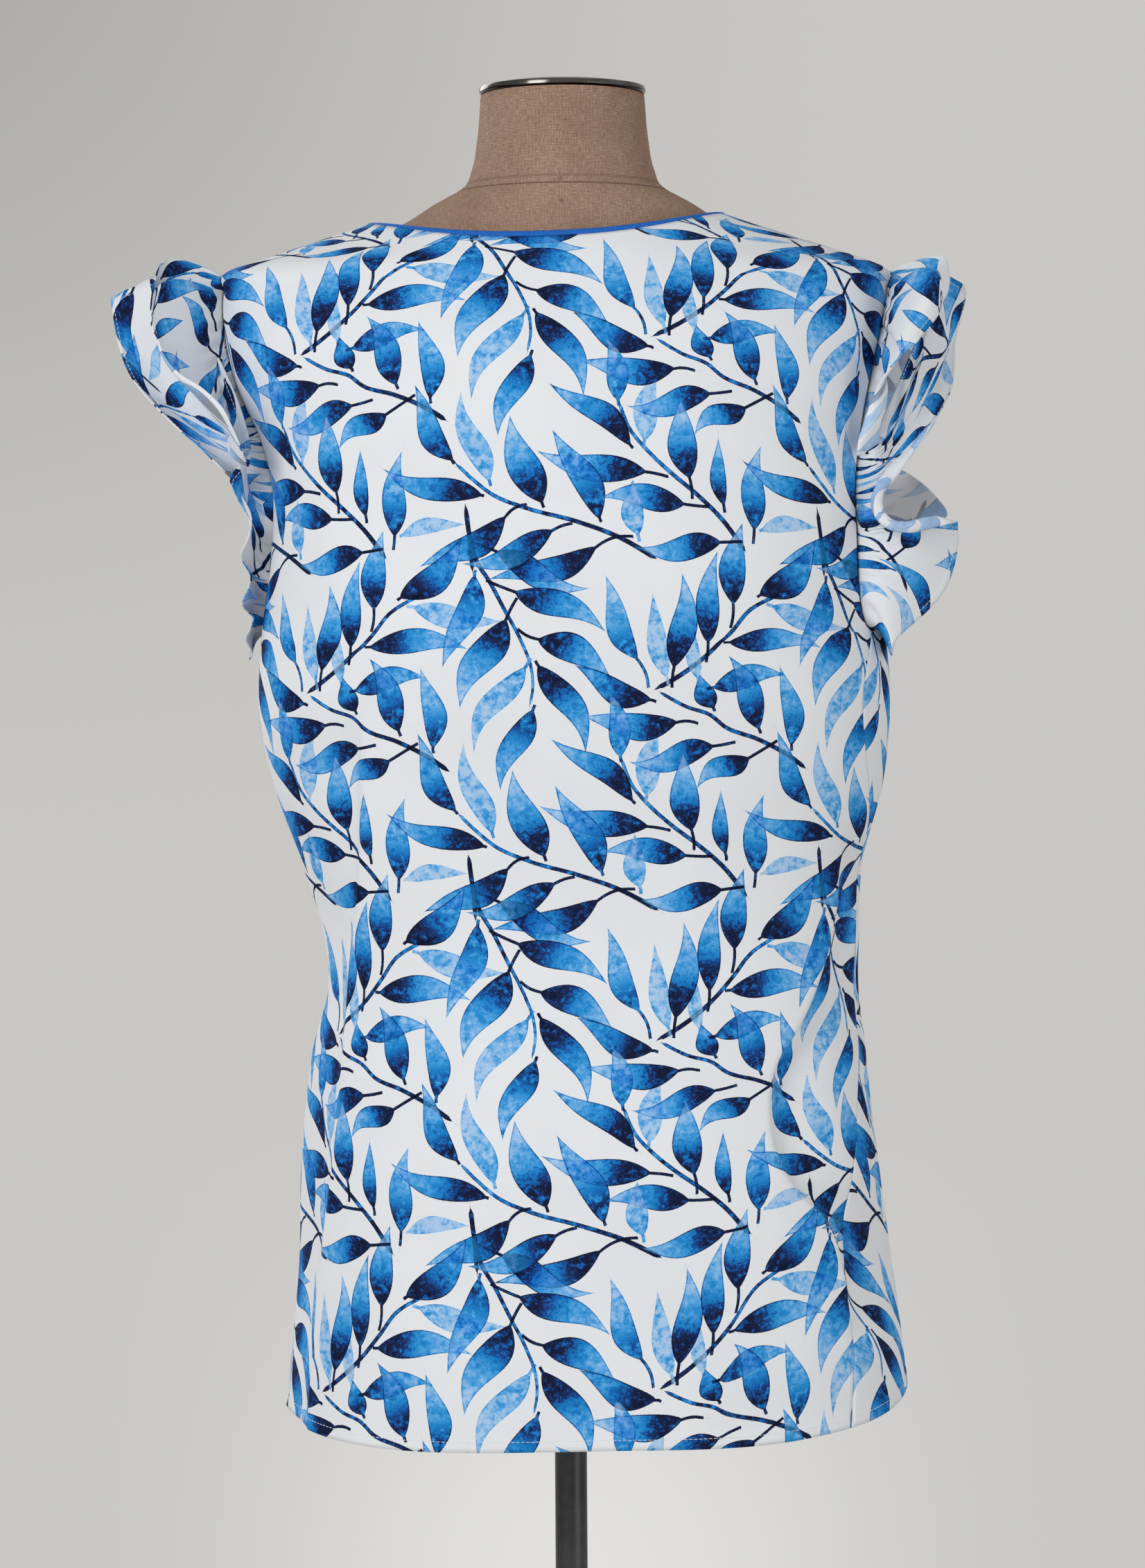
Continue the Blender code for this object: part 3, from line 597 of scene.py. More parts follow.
# Each leaf: from its base to its tip, its width, how far its middle bows to the left of that line and
# its ends curl, the length of its stalk, and its tone at the base and at the tip.
LEAVES = [
    (31, 24, 69, 20, 9, 3, 1, 1, 0.10, 0.05),
    (38, 67, 90, 78, 13, -3, 1, 4, 0.22, 0.05),
    (184, 112, 176, 62, 11, 2, 1, 5, 0.15, 0.08),
    (202, 113, 200, 80, 8, 2, 0, 3, 0.10, 0.12),
    (172, 181, 180, 141, 13, 3, -1, 4, 0.15, 0.05),
    (83, 202, 67, 149, 13, 3, -4, 3, 0.28, 0.08),
    (103, 105, 73, 155, 13, -6, 5, 6, 0.30, 0.10),
    (27, 230, 32, 181, 14, 3, -2, 8, 0.50, 0.18),
    (62, 189, 40, 143, 13, 4, 3, 2, 0.55, 0.25),
    (144, 36, 82, 53, 14, 5, 4, 22, 1.00, 0.30),
    (87, 37, 140, 60, 14, -5, 4, 16, 1.00, 0.12),
    (119, 26, 67, 43, 14, 6, -2, 12, 0.72, 0.25),
    (92, 17, 42, 43, 15, 5, 4, 14, 0.85, 0.30),
    (30, 61, 67, 27, 17, -7, 0, 2, 0.95, 0.42),
    (79, 210, 20, 190, 13, 4, -3, 1, 1.00, 0.25),
    (9, 217, 6, 178, 9, 2, 1, 4, 0.60, 0.22),
    (208, 91, 214, 37, 13, 3, -1, 12, 0.75, 0.15),
    (14, 67, 20, 20, 15, 3, 0, 14, 0.75, 0.15),
    (11, 91, 70, 94, 15, 5, -2, 3, 0.85, 0.08),
    (74, 50, 55, 105, 15, 3, 4, 3, 0.45, 0.28),
    (97, 61, 149, 85, 15, 4, -3, 18, 0.75, 0.22),
    (92, 77, 65, 129, 18, -3, 5, 14, 0.72, 0.10),
    (110, 89, 152, 112, 16, 5, 0, 13, 0.92, 0.22),
    (175, 125, 131, 104, 14, 4, 3, 3, 1.00, 0.45),
    (110, 104, 137, 156, 15, 6, -4, 3, 1.00, 0.25),
    (107, 130, 88, 177, 14, -3, 4, 3, 0.52, 0.25),
    (167, 101, 149, 52, 13, 3, 3, 18, 0.45, 0.18),
    (188, 106, 193, 50, 15, -4, 2, 12, 1.00, 0.08),
    (164, 184, 117, 147, 13, -4, -4, 2, 1.00, 0.25),
    (190, 138, 135, 134, 15, 4, 2, 12, 0.95, 0.10),
    (157, 158, 150, 120, 12, -3, 1, 3, 0.42, 0.22),
    (211, 152, 162, 161, 14, 3, -4, 13, 0.80, 0.15),
    (2, 130, -6, 110, 12, 2, 0, 2, 0.80, 0.45),
    (2, 118, 46, 111, 13, 4, -2, 4, 0.50, 0.32),
    (29, 142, 11, 99, 15, -3, 2, 3, 0.58, 0.35),
    (49, 152, 42, 105, 13, -4, -2, 3, 0.48, 0.20),
    (23, 159, -8, 177, 13, -4, 4, 20, 1.00, 0.15),
    (173, 199, 110, 186, 15, 4, -2, 13, 0.90, 0.06),
    (198, 202, 193, 155, 16, 2, 1, 12, 0.78, 0.08),
    (113, 216, 95, 165, 18, 3, -2, 3, 0.82, 0.10),
    (146, 226, 119, 174, 15, -3, -3, 2, 0.50, 0.30),
    (195, 217, 146, 214, 14, -3, 2, 15, 0.85, 0.22),
    (168, 235, 165, 203, 12, 2, 1, 4, 0.30, 0.18),
    (216, 238, 167, 242, 14, 3, -3, 13, 1.00, 0.15),
]
LEAF_LAYERS = 3  # leaves that may lie over each other at one place
STEM_LAYERS = 2
STEM_FULLNESS = 1.15  # half-width for each unit of the branches' own
STEM_TONE = 0.12  # how much darker the branches are than their charted tones
STALK_HALF = 0.95
LEAF_BELLY = 0.72  # below 1 the leaf is widest near its base
LEAF_POINT = 1.15  # above 1 its ends are drawn out
LEAF_FULLNESS = 0.54  # half-width for each unit of the table's width
BASE_DEEPENING = 0.65  # the share of the way to navy that the darker leaves' bases go
TIP_SHARE = 0.75  # of the charted tone
NEAR = 0.5  # a face takes a leaf whose outline is this near to it, in mm


def wrapped(offset):
    """The shift, in whole repeats, that brings an offset into the repeat about zero."""
    return np.round(offset / REPEAT) * REPEAT


def leaf_width(s):
    """A leaf's half-width along it, as a share of its widest."""
    s = np.clip(s, 0, 1)
    return np.maximum(np.sin(np.pi * s**LEAF_BELLY), 0) ** LEAF_POINT


def middles_and_reach(faces):
    """Each face's middle, and how near to it an outline comes that the face takes."""
    middles = faces.mean(axis=1)
    return middles, np.linalg.norm(faces - middles[:, None], axis=2).max(axis=1) + NEAR


def leaf_layers(faces):
    """Up to LEAF_LAYERS leaves for each face.

    Each has (along, across, half-width) and (base tone, tip tone, stalk) at the face's corners.
    """
    middles, reach = middles_and_reach(faces)
    count = np.zeros(len(faces), int)
    places = np.zeros((LEAF_LAYERS, len(faces), 4, 3), np.float32)
    places[..., :2] = -9, 9
    tones = np.zeros_like(places)
    for x, y, tip_x, tip_y, width, bow, curl, stalk, base_tone, tip_tone in LEAVES:
        base, tip = np.array([x, y], float), np.array([tip_x, tip_y], float)
        length = np.linalg.norm(tip - base)
        ahead = (tip - base) / length
        left = np.array([ahead[1], -ahead[0]])
        stalk = stalk / length
        shift = wrapped(middles - (base + tip) / 2)

        def local(points):
            offset = points - base
            s = offset @ ahead / length
            bowed = bow * np.sin(np.pi * np.clip(s, 0, 1.2))
            curled = curl / 2 * np.sin(2 * np.pi * np.clip(s, 0, 1.1))
            back = np.clip(s, -stalk, 0)  # the stalk swings back to the leaf's line
            swing = np.pi * (bow + curl) * back * (1 + back / stalk)
            return s, offset @ left - bowed - curled - swing

        s, t = local(middles - shift)
        half = width * LEAF_FULLNESS
        near = (s > -stalk - reach / length) & (s < 1 + reach / length)
        near &= np.abs(t) < half * leaf_width(s) + STALK_HALF + 1.3 * reach
        chosen = np.flatnonzero(near & (count < LEAF_LAYERS))
        s, t = local(faces[chosen] - shift[chosen, None])
        places[count[chosen], chosen] = np.stack([s, t, np.full_like(s, half)], axis=-1)
        base_tone += BASE_DEEPENING * (1 - base_tone) * smoothstep((base_tone - 0.3) / 0.3)
        tones[count[chosen], chosen] = [base_tone, TIP_SHARE * tip_tone, stalk]
        count[chosen] += 1
    return places, tones


def stem_layers(faces):
    """Up to STEM_LAYERS branches for each face: (across, half-width, tone) at its corners."""
    middles, reach = middles_and_reach(faces)
    count = np.zeros(len(faces), int)
    made = np.zeros((STEM_LAYERS, len(faces), 4, 3), np.float32)
    made[..., 0] = 9
    for points, halves, tones in BRANCHES:
        points = np.array(points, float)
        knots = arc_lengths(points, 0)
        run = np.linspace(0, knots[-1], int(knots[-1] / 2) + 2)
        line = np.stack([spline(knots, points[:, k], run) for k in (0, 1)], axis=1)
        tangent = unit(np.gradient(line, axis=0))
        best = np.full(len(faces), np.inf)
        nearest = np.zeros(len(faces), int)
        shift = np.zeros_like(middles)
        for k, point in enumerate(line):
            offset = middles - point
            turns = wrapped(offset)
            distance = np.linalg.norm(offset - turns, axis=1)
            closer = distance < best
            best[closer], nearest[closer], shift[closer] = distance[closer], k, turns[closer]
        chosen = np.flatnonzero((best < reach + 2.5) & (count < STEM_LAYERS))
        here, ahead = line[nearest[chosen]], tangent[nearest[chosen]]
        offset = faces[chosen] - shift[chosen, None] - here[:, None]
        across = offset[..., 0] * -ahead[:, None, 1] + offset[..., 1] * ahead[:, None, 0]
        along = run[nearest[chosen]][:, None] + np.einsum("fcx,fx->fc", offset, ahead)
        u = np.clip(along / knots[-1], 0, 1)
        half = STEM_FULLNESS * (halves[0] * (1 - u) + halves[1] * u)
        half = half * smoothstep(along / 4) * smoothstep((knots[-1] - along) / 4)
        tone = STEM_TONE + tones[0] * (1 - u) + tones[1] * u
        made[count[chosen], chosen] = np.stack([across, half, tone], axis=-1)
        count[chosen] += 1
    return made


def corner_attribute(mesh, name, values):
    """Writes one vector for each corner of each face."""
    made = mesh.attributes.new(name, "FLOAT_VECTOR", "CORNER")
    made.data.foreach_set("vector", np.ascontiguousarray(values, np.float32).ravel())


def quads(columns, rows, closed):
    """The corner indices of a grid's faces, for points numbered column by column."""
    i = np.arange(columns if closed else columns - 1)[:, None]
    k = np.arange(rows - 1)[None, :]
    j = (i + 1) % columns
    i, j = i * rows + k, j * rows + k
    return np.stack([i, j, j + 1, i + 1], axis=-1).reshape(-1, 4)


def rim(columns, rows, closed):
    """The faces that join a grid's outer skin to its inner one, round its edges."""
    i = np.arange(columns if closed else columns - 1)
    j = (i + 1) % columns
    i, j, inner = i * rows, j * rows, columns * rows
    sides = [
        np.stack([j, i, inner + i, inner + j], axis=-1),
        np.stack([i, j, inner + j, inner + i], axis=-1) + rows - 1,
    ]
    if not closed:
        k = np.arange(rows - 1)
        last = (columns - 1) * rows + k
        sides.append(np.stack([k, k + 1, inner + k + 1, inner + k], axis=-1))
        sides.append(np.stack([last + 1, last, inner + last, inner + last + 1], axis=-1))
    return np.concatenate(sides)


def close_ring(places, period):
    """Lets the faces that close a ring run on past its period, not back to its start."""
    jump = places[..., 0].max(axis=1, keepdims=True) - places[..., 0] > period / 2
    places[..., 0] += np.where(jump, period, 0)


def flat_map(mesh, places):
    """Writes the place of each corner of each face on the uncut cloth, in metres."""
    mesh.uv_layers.new(name="flat").data.foreach_set("uv", places.astype(np.float32).ravel())


def sheet_mesh(name, outer, inner, flat, period=None):
    """A sheet's mesh between two grids of points, its corners' flat places and its outer face count.

    flat holds each point's place on the uncut cloth, and a period makes the grid a ring of that length.
    """
    columns, rows = outer.shape[:2]
    skin = quads(columns, rows, period is not None)
    faces = np.concatenate([skin, skin[:, ::-1] + columns * rows, rim(columns, rows, period is not None)])
    places = np.concatenate([flat, flat]).reshape(-1, 2)[faces]
    if period is not None:
        close_ring(places, period)
    mesh = bpy.data.meshes.new(name)
    mesh.from_pydata(np.concatenate([outer, inner]).reshape(-1, 3).tolist(), [], faces.tolist())
    return mesh, places, len(skin)


def cloth(name, outer, inner, flat, material, period=None):
    """A sheet of printed cloth between two grids of points."""
    mesh, places, skin = sheet_mesh(name, outer, inner, flat, period)
    wrong = np.zeros((len(places), 4, 3))
    wrong[skin : 2 * skin, :, 0] = 1
    chart = places / MM * (1, -1) - np.array(REPEAT_CORNER) * (1, -1)
    for layer, (place, tone) in enumerate(zip(*leaf_layers(chart))):
        corner_attribute(mesh, f"leaf_{layer}", place)
        corner_attribute(mesh, f"leaf_tone_{layer}", tone)
    for layer, stem in enumerate(stem_layers(chart)):
        corner_attribute(mesh, f"stem_{layer}", stem)
    corner_attribute(mesh, "wrong_side", wrong)
    flat_map(mesh, places)
    return piece(name, mesh, material)


def linked(name, data):
    made = bpy.data.objects.new(name, data)
    bpy.context.scene.collection.objects.link(made)
    return made


def piece(name, mesh, material):
    mesh.validate()
    made = linked(name, mesh)
    mesh.materials.append(material)
    mesh.shade_smooth()
    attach(made, "root")
    return made


def arc_lengths(points, axis):
    """The length along a grid's lines from their first point."""
    steps = np.linalg.norm(np.diff(points, axis=axis), axis=-1)
    start = np.zeros_like(np.take(steps, [0], axis=axis))
    return np.concatenate([start, np.cumsum(steps, axis=axis)], axis=axis)


def hem_step(distance, depth):
    """How far the turned-up hem stands proud, at this distance from the edge."""
    return HEM_FOLD * (1 - smoothstep((distance - depth + HEM_EDGE) / (2 * HEM_EDGE)))


def panel(face, material):
    turn, z = panel_places(face, PANEL_GRID["columns"], PANEL_GRID["rows"])
    points, normals = body(turn, z), body_normal(turn, z)
    across = arc_lengths(points, 0)
    x = points[..., 0] if face == "back" else -points[..., 0]
    across = across - [np.interp(0, x[:, k], across[:, k]) for k in range(points.shape[1])]
    up = arc_lengths(points, 1)
    proud = hem_step(up, HEM_DEPTH)
    level = [np.interp(PRINT_LEVEL, z[i], up[i]) for i in range(points.shape[0])]
    flat = np.stack([across, up - np.array(level)[:, None] + PRINT_LEVEL], axis=-1)
    if face == "front":
        flat[..., 0] += 0.5 * REPEAT[0] * MM
    outer = points + proud[..., None] * normals
    inner = points - SHEET * normals
    made = cloth(face + "_cloth", outer, inner, flat, material)
    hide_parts(face + "_panel")
    line, up_line = stitch_line(outer, normals, up, HEM_DEPTH - HEM_EDGE)
    return made, line, up_line


def roll_hem(side, rows, points):
    """Rolls the hem over outwards where HEM_ROLLS says so."""
    at = np.linspace(0, len(rows["theta"]) - 1, len(points), endpoint=False)
    theta = np.interp(at, np.arange(len(rows["theta"])), rows["theta"])
    across = arc_lengths(points, 1)
    distance = across[:, -1:] - across
    normals = ARMHOLES[side]["side"] * ring_normal(points)
    rolled = points.copy()
    for roll in HEM_ROLLS[side]:
        edge = ROLL_EDGE * (roll["end"] - roll["start"])
        share = smoothstep((theta - roll["start"]) / edge) * smoothstep((roll["end"] - theta) / edge)
        for i in np.flatnonzero(share > 0.01):
            depth, turn = roll["depth"], math.radians(roll["turn"] * share[i])
            start = np.interp(-depth, -distance[i], np.arange(points.shape[1]))
            k = int(start)
            base = points[i, k] + (start - k) * (points[i, k + 1] - points[i, k])
            ahead = unit(points[i, k + 1] - points[i, k])
            out = unit(normals[i, k] - ahead * (normals[i, k] @ ahead))
            angle = turn * (1 - distance[i, k + 1 :, None] / depth)
            rolled[i, k + 1 :] = base + depth / turn * (np.sin(angle) * ahead + (1 - np.cos(angle)) * out)
    return rolled


def ruffle(side, rows, material):
    points = roll_hem(side, rows, ruffle_points(side, rows, **RUFFLE_GRID))
    normals = ARMHOLES[side]["side"] * ring_normal(points)
    around = arc_lengths(np.concatenate([points, points[:1]]), 0)[:, RUFFLE_MEASURED_ROW]
    period = around[-1]
    across = arc_lengths(points, 1)
    width = across[:, -1:]
    turn = math.tau * around[:-1, None] / period
    down = across / width
    near_seam = np.exp(-(((down - GATHER_PLACE) / GATHER_SPREAD) ** 2))
    gathers = np.sin(GATHERS * turn + 1.5 * np.sin(7 * turn)) * near_seam * GATHER_HEIGHT * MM
    creases = np.sin(CREASES * turn + 2.0 * np.sin(5 * turn) + CREASE_SLANT * across)
    rise, fall = smoothstep(down / CREASE_FADES[0]), smoothstep((1 - down) / CREASE_FADES[1])
    creases = creases * rise * fall * CREASE_HEIGHT * MM
    points = points + (gathers + creases)[..., None] * normals
    normals = ARMHOLES[side]["side"] * ring_normal(points)
    flat = np.stack([np.broadcast_to(around[:-1, None], across.shape), -across], axis=-1)
    flat = flat + MM * np.array(RUFFLE_PLACE[side])
    proud = hem_step(width - across, RUFFLE_HEM_DEPTH)
    outer = points + (SHEET / 2 + proud)[..., None] * normals
    inner = points - SHEET / 2 * normals
    made = cloth("ruffle_cloth_" + side, outer, inner, flat, material, period)
    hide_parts("ruffle_" + side)
    line, up = stitch_line(outer, normals, width - across, RUFFLE_HEM_DEPTH)
    return made, line, up


def stitch_line(points, normals, distance, depth):
    """The points and normals at this distance from the edge that a grid's distances run down to."""
    order = np.argsort(distance, axis=1)
    distance = np.take_along_axis(distance, order, 1)
    lines = []
    for values in (points, normals):
        values = np.take_along_axis(values, order[..., None], 1)
        line = [[np.interp(depth, d, v[:, k]) for k in range(3)] for d, v in zip(distance, values)]
        lines.append(np.array(line))
    return lines


def binding(material, columns=420, rows=7):
    """The folded strip round the neckline, with a rounded section."""
    turn = np.linspace(-90, 270, columns, endpoint=False)
    outer, inner = [], []
    for share in np.linspace(1, 0, rows):
        widen = BINDING_WIDTH * share
        z = np.where(turn <= 90, neckline(turn, "back", widen), neckline(turn, "front", widen))
        surface, normal = body(turn, z), body_normal(turn, z)
        proud = BINDING_PROUD * math.sqrt(1 - (2 * share - 1) ** 2 * BINDING_ROUND)
        outer.append(surface + proud * normal)
        inner.append(surface - (SHEET + proud) * normal)
    outer, inner = np.stack(outer, 1), np.stack(inner, 1)
    around = arc_lengths(np.concatenate([outer, outer[:1]]), 0)[:, 0]
    flat = np.stack(np.meshgrid(around[:-1], np.linspace(0, BINDING_WIDTH, rows), indexing="ij"), -1)
    mesh, places, _ = sheet_mesh("neck_strip", outer, inner, flat, around[-1])
    flat_map(mesh, places)
    made = piece("neck_strip", mesh, material)
    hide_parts("neck_binding")
    return made


def capped_mesh(name, points):
    """The mesh of a ring of points in columns, with a face over each end, and its faces."""
    columns, rows = points.shape[:2]
    faces = quads(columns, rows, True).tolist()
    faces.append([i * rows for i in range(columns)][::-1])
    faces.append([i * rows + rows - 1 for i in range(columns)])
    mesh = bpy.data.meshes.new(name)
    mesh.from_pydata(points.reshape(-1, 3).tolist(), [], faces)
    return mesh, faces


def torso_cover(material):
    """The form's padded torso and neck, smooth, with the seam round the foot of its neck."""
    z = np.concatenate([np.linspace(*rows) for rows in FORM_ROWS])
    turn = np.linspace(0, 360, FORM_COLUMNS, endpoint=False)
    size = {name: spline(FORM_SECTIONS["z"], FORM_SECTIONS[name], z)[None, :] for name in FORM_SECTIONS}
    half, back, front = (MM * size[name] for name in ("half", "back", "front"))
    x, y = ring(-half, half, back, front, size["power"], turn[:, None])
    height = np.broadcast_to(MM * z[None, :], x.shape)
    groove = sum(deep * MM * np.exp(-(((height - at) / (wide * MM)) ** 2)) for at, deep, wide in GROOVES)
    away = np.hypot(x, y)
    x, y = x - groove * x / away, y - groove * y / away
    points = np.stack([x, y, height + DATUM_Z], axis=-1)
    mesh, faces = capped_mesh("torso_cover", points)
    around = arc_lengths(np.concatenate([points, points[:1]]), 0)
    period = around[-1]
    up = arc_lengths(points, 1)
    from_back = around[:-1] - np.where(turn[:, None] > 180, period, 0)
    flat = np.stack([from_back, up - up[:, -1:]], axis=-1).reshape(-1, 2)
    skin = flat[np.array(faces[:-2])]
    close_ring(skin, period.mean())
    flat_map(mesh, np.concatenate([skin.reshape(-1, 2), *(flat[face] for face in faces[-2:])]))
    made = piece("torso_cover", mesh, material)
    made.data.set_sharp_from_angle(angle=math.radians(50))
    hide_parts("form_torso")
    row = np.argmin(np.abs(z * MM - NECK_SEAM_Z))
    seam = np.concatenate([points[:, row], points[:1, row]])
    return seam, seam - [0, 0, seam[0, 2]]


def turned(name, profile, place, material, node, steps=192):
    """A solid of revolution about a vertical axis, from its profile's radii and heights."""
    turn = np.linspace(0, math.tau, steps, endpoint=False)[:, None]
    r, z = np.array(profile).T
    points = np.stack([np.cos(turn) * r, np.sin(turn) * r, np.broadcast_to(z, (steps, len(z)))], axis=-1)
    mesh, _ = capped_mesh(name, points + place)
    made = piece(name, mesh, material)
    made.data.set_sharp_from_angle(angle=math.radians(35))
    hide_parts(node)


def neck_disc(material):
    top = CAP_TOP_Z - FORM_NECK_Z
    profile = [
        (CAP_RADIUS - 1.6 * MM, SEAM),
        (CAP_RADIUS - 0.6 * MM, SEAM + 0.3 * MM),
        (CAP_RADIUS, SEAM + 1.0 * MM),
        (CAP_RADIUS, SEAM + CAP_RIM - 1.0 * MM),
        (CAP_RADIUS - 0.4 * MM, SEAM + CAP_RIM - 0.3 * MM),
        (CAP_RADIUS - 1.2 * MM, SEAM + CAP_RIM),
        (CAP_RADIUS - 5 * MM, SEAM + CAP_RIM + 0.6 * MM),
        (CAP_RADIUS * 0.8, top - 2.4 * MM),
        (CAP_RADIUS * 0.6, top - 1.2 * MM),
        (CAP_RADIUS * 0.3, top - 0.3 * MM),
        (0.5 * MM, top),
    ]
    middle = (FORM_SECTIONS["back"][-1] + FORM_SECTIONS["front"][-1]) / 2 * MM
    place = (0, middle, DATUM_Z + FORM_NECK_Z)
    turned("neck_disc", profile, place, material, "neck_cap")


def pole_tube(material):
    foot = BOSS_TOP_Z + SEAM
    top = DATUM_Z + FORM_FLOOR_Z - SEAM - foot
    profile = [(POLE_RADIUS, 0), (POLE_RADIUS, top)]
    turned("pole_tube", profile, (0, 0, foot), material, "pole", steps=96)


def base_plate(material):
    profile = [
        (BASE_RADIUS - 1.5 * MM, 0),
        (BASE_RADIUS - 0.5 * MM, 0.5 * MM),
        (BASE_RADIUS, 1.5 * MM),
        (BASE_RADIUS, BASE_THICKNESS - 3 * MM),
        (BASE_RADIUS - 0.9 * MM, BASE_THICKNESS - 0.9 * MM),
        (BASE_RADIUS - 3 * MM, BASE_THICKNESS),
        (BOSS_RADIUS + 6 * MM, BASE_THICKNESS + 2 * MM),
        (BOSS_RADIUS + 2 * MM, BASE_THICKNESS + 4 * MM),
        (BOSS_RADIUS, BASE_THICKNESS + 8 * MM),
        (BOSS_RADIUS - 2 * MM, BOSS_TOP_Z - 2 * MM),
        (BOSS_RADIUS - 4 * MM, BOSS_TOP_Z),
        (POLE_RADIUS * 0.5, BOSS_TOP_Z),
    ]
    turned("base_plate", profile, (0, 0, 0), material, "base", steps=256)


def arithmetic(operation, swapped=False):
    """A method of Value that adds this math node."""
    if swapped:
        return lambda self, other: self.nodes.math(operation, other, self)
    return lambda self, *others: self.nodes.math(operation, self, *others)


class Value:
    """A node's output, whose arithmetic adds math nodes to the tree."""

    __add__ = arithmetic("ADD")
    __sub__ = arithmetic("SUBTRACT")
    __rsub__ = arithmetic("SUBTRACT", swapped=True)
    __mul__ = arithmetic("MULTIPLY")
    __pow__ = arithmetic("POWER")
    __abs__ = arithmetic("ABSOLUTE")
    at_least = arithmetic("MAXIMUM")
    at_most = arithmetic("MINIMUM")
    sine = arithmetic("SINE")

    def __init__(self, nodes, socket):
        self.nodes = nodes
        self.socket = socket

    def clamped(self):
        """The same value, held between 0 and 1."""
        self.socket.node.use_clamp = True
        return self


class Nodes:
    """A short way to write a node tree. Colours are given as their linear red, green and blue."""

    def __init__(self, tree):
        self.tree = tree

    def add(self, kind, inputs=(), output=0, **settings):
        node = self.tree.nodes.new("ShaderNode" + kind)
        for name, value in settings.items():
            setattr(node, name, value)
        self.feed(node, inputs)
        return Value(self, node.outputs[output])

    def feed(self, node, inputs):
        """Links or sets a node's inputs."""
        for name, value in dict(inputs).items():
            socket = node.inputs[name]
            if isinstance(value, Value):
                self.tree.links.new(value.socket, socket)
            else:
                socket.default_value = (*value, 1) if socket.type == "RGBA" else value

    def math(self, operation, *values):
        return self.add("Math", dict(enumerate(values)), operation=operation)

    def parts(self, vector):
        outputs = self.add("SeparateXYZ", {0: vector}).socket.node.outputs
        return [Value(self, output) for output in outputs]

    def step(self, value, low, high):
        """0 below low and 1 above high, smooth between them."""
        inputs = {"Value": value, "From Min": low, "From Max": high}
        return self.add("MapRange", inputs, interpolation_type="SMOOTHSTEP")

    def mix(self, factor, a, b, blend="MIX"):
        return self.add("Mix", {0: factor, 6: a, 7: b}, 2, data_type="RGBA", blend_type=blend)

    def ramp(self, value, stops):
        made = self.add("ValToRGB", {0: value})
        elements = made.socket.node.color_ramp.elements
        while len(elements) > 1:
            elements.remove(elements[0])
        elements[0].position = stops[0][0]
        elements[0].color = (*stops[0][1], 1)
        for position, colour in stops[1:]:
            elements.new(position).color = (*colour, 1)
        return made

    def noise(self, name, vector):
        scale, detail, roughness = NOISES[name]
        inputs = {"Vector": vector, "Scale": scale, "Detail": detail, "Roughness": roughness}
        return self.add("TexNoise", inputs)

    def attribute(self, name):
        """The three parts of a vector attribute."""
        return self.parts(self.add("Attribute", output="Vector", attribute_name=name))


def srgb(code):
    """A linear colour from its hexadecimal sRGB code."""
    parts = [int(code[i : i + 2], 16) / 255 for i in (0, 2, 4)]
    return tuple(p / 12.92 if p <= 0.04045 else ((p + 0.055) / 1.055) ** 2.4 for p in parts)


NOISES = {  # scale, in waves a metre, then detail and roughness
    "ink blots": (230, 6, 0.68),
    "ink pools": (130, 3, 0.5),
    "ink edge": (1500, 2, 0.6),
    "cloth cloud": (14, 3, 0.5),
    "strip slub": (900, 3, 0.6),
    "canvas slub": (900, 3, 0.65),
    "canvas cloud": (22, 4, 0.6),
    "chrome wear": (60, 4, 0.6),
    "cap shade edge": (25, 2, 0.5),
    "lacquer wear": (45, 5, 0.6),
}
INK = [
    (0.0, srgb("B8D8F8")),
    (0.16, srgb("90C6F6")),
    (0.32, srgb("5AAEEE")),
    (0.48, srgb("2B96DE")),
    (0.64, srgb("1A78C6")),
    (0.76, srgb("1A509C")),
    (0.87, srgb("1C2F5E")),
    (1.0, srgb("161E3C")),
]
CLOTH_COLOUR = srgb("EDF0F4")
CLOTH_CLOUD = srgb("E9ECF1")  # and where it is slightly greyer
WRONG_SIDE = srgb("E6EDF6")  # what veils the print on the cloth's wrong side
WEAVE_PITCH = 0.36 * MM
CANVAS_PITCH = 0.9 * MM
OVERLAP = 0.5  # how far the ink below shows through the ink above


def new_material(name):
    made = bpy.data.materials.new(name)
    made.use_nodes = True
    return made, Nodes(made.node_tree), made.node_tree.nodes["Principled BSDF"]


def weave(nodes, flat, pitch, strength, distance):
    """The normal and the height of a plain weave: threads over and under each other both ways."""
    u, v, _ = nodes.parts(flat)
    height = abs((u * (math.pi / pitch)).sine() * (v * (math.pi / pitch)).sine())
    return nodes.add("Bump", {"Height": height, "Strength": strength, "Distance": distance}), height


def inked(nodes, colour, edge, tone):
    """The colour, with ink of this tone over it inside an outline. edge is how far inside a place is."""
    fresh = nodes.ramp(tone.clamped(), INK)
    ink = nodes.mix(OVERLAP, fresh, nodes.mix(1.0, colour, fresh, "MULTIPLY"))
    return nodes.mix(nodes.step(edge, -0.1, 0.15), colour, ink)


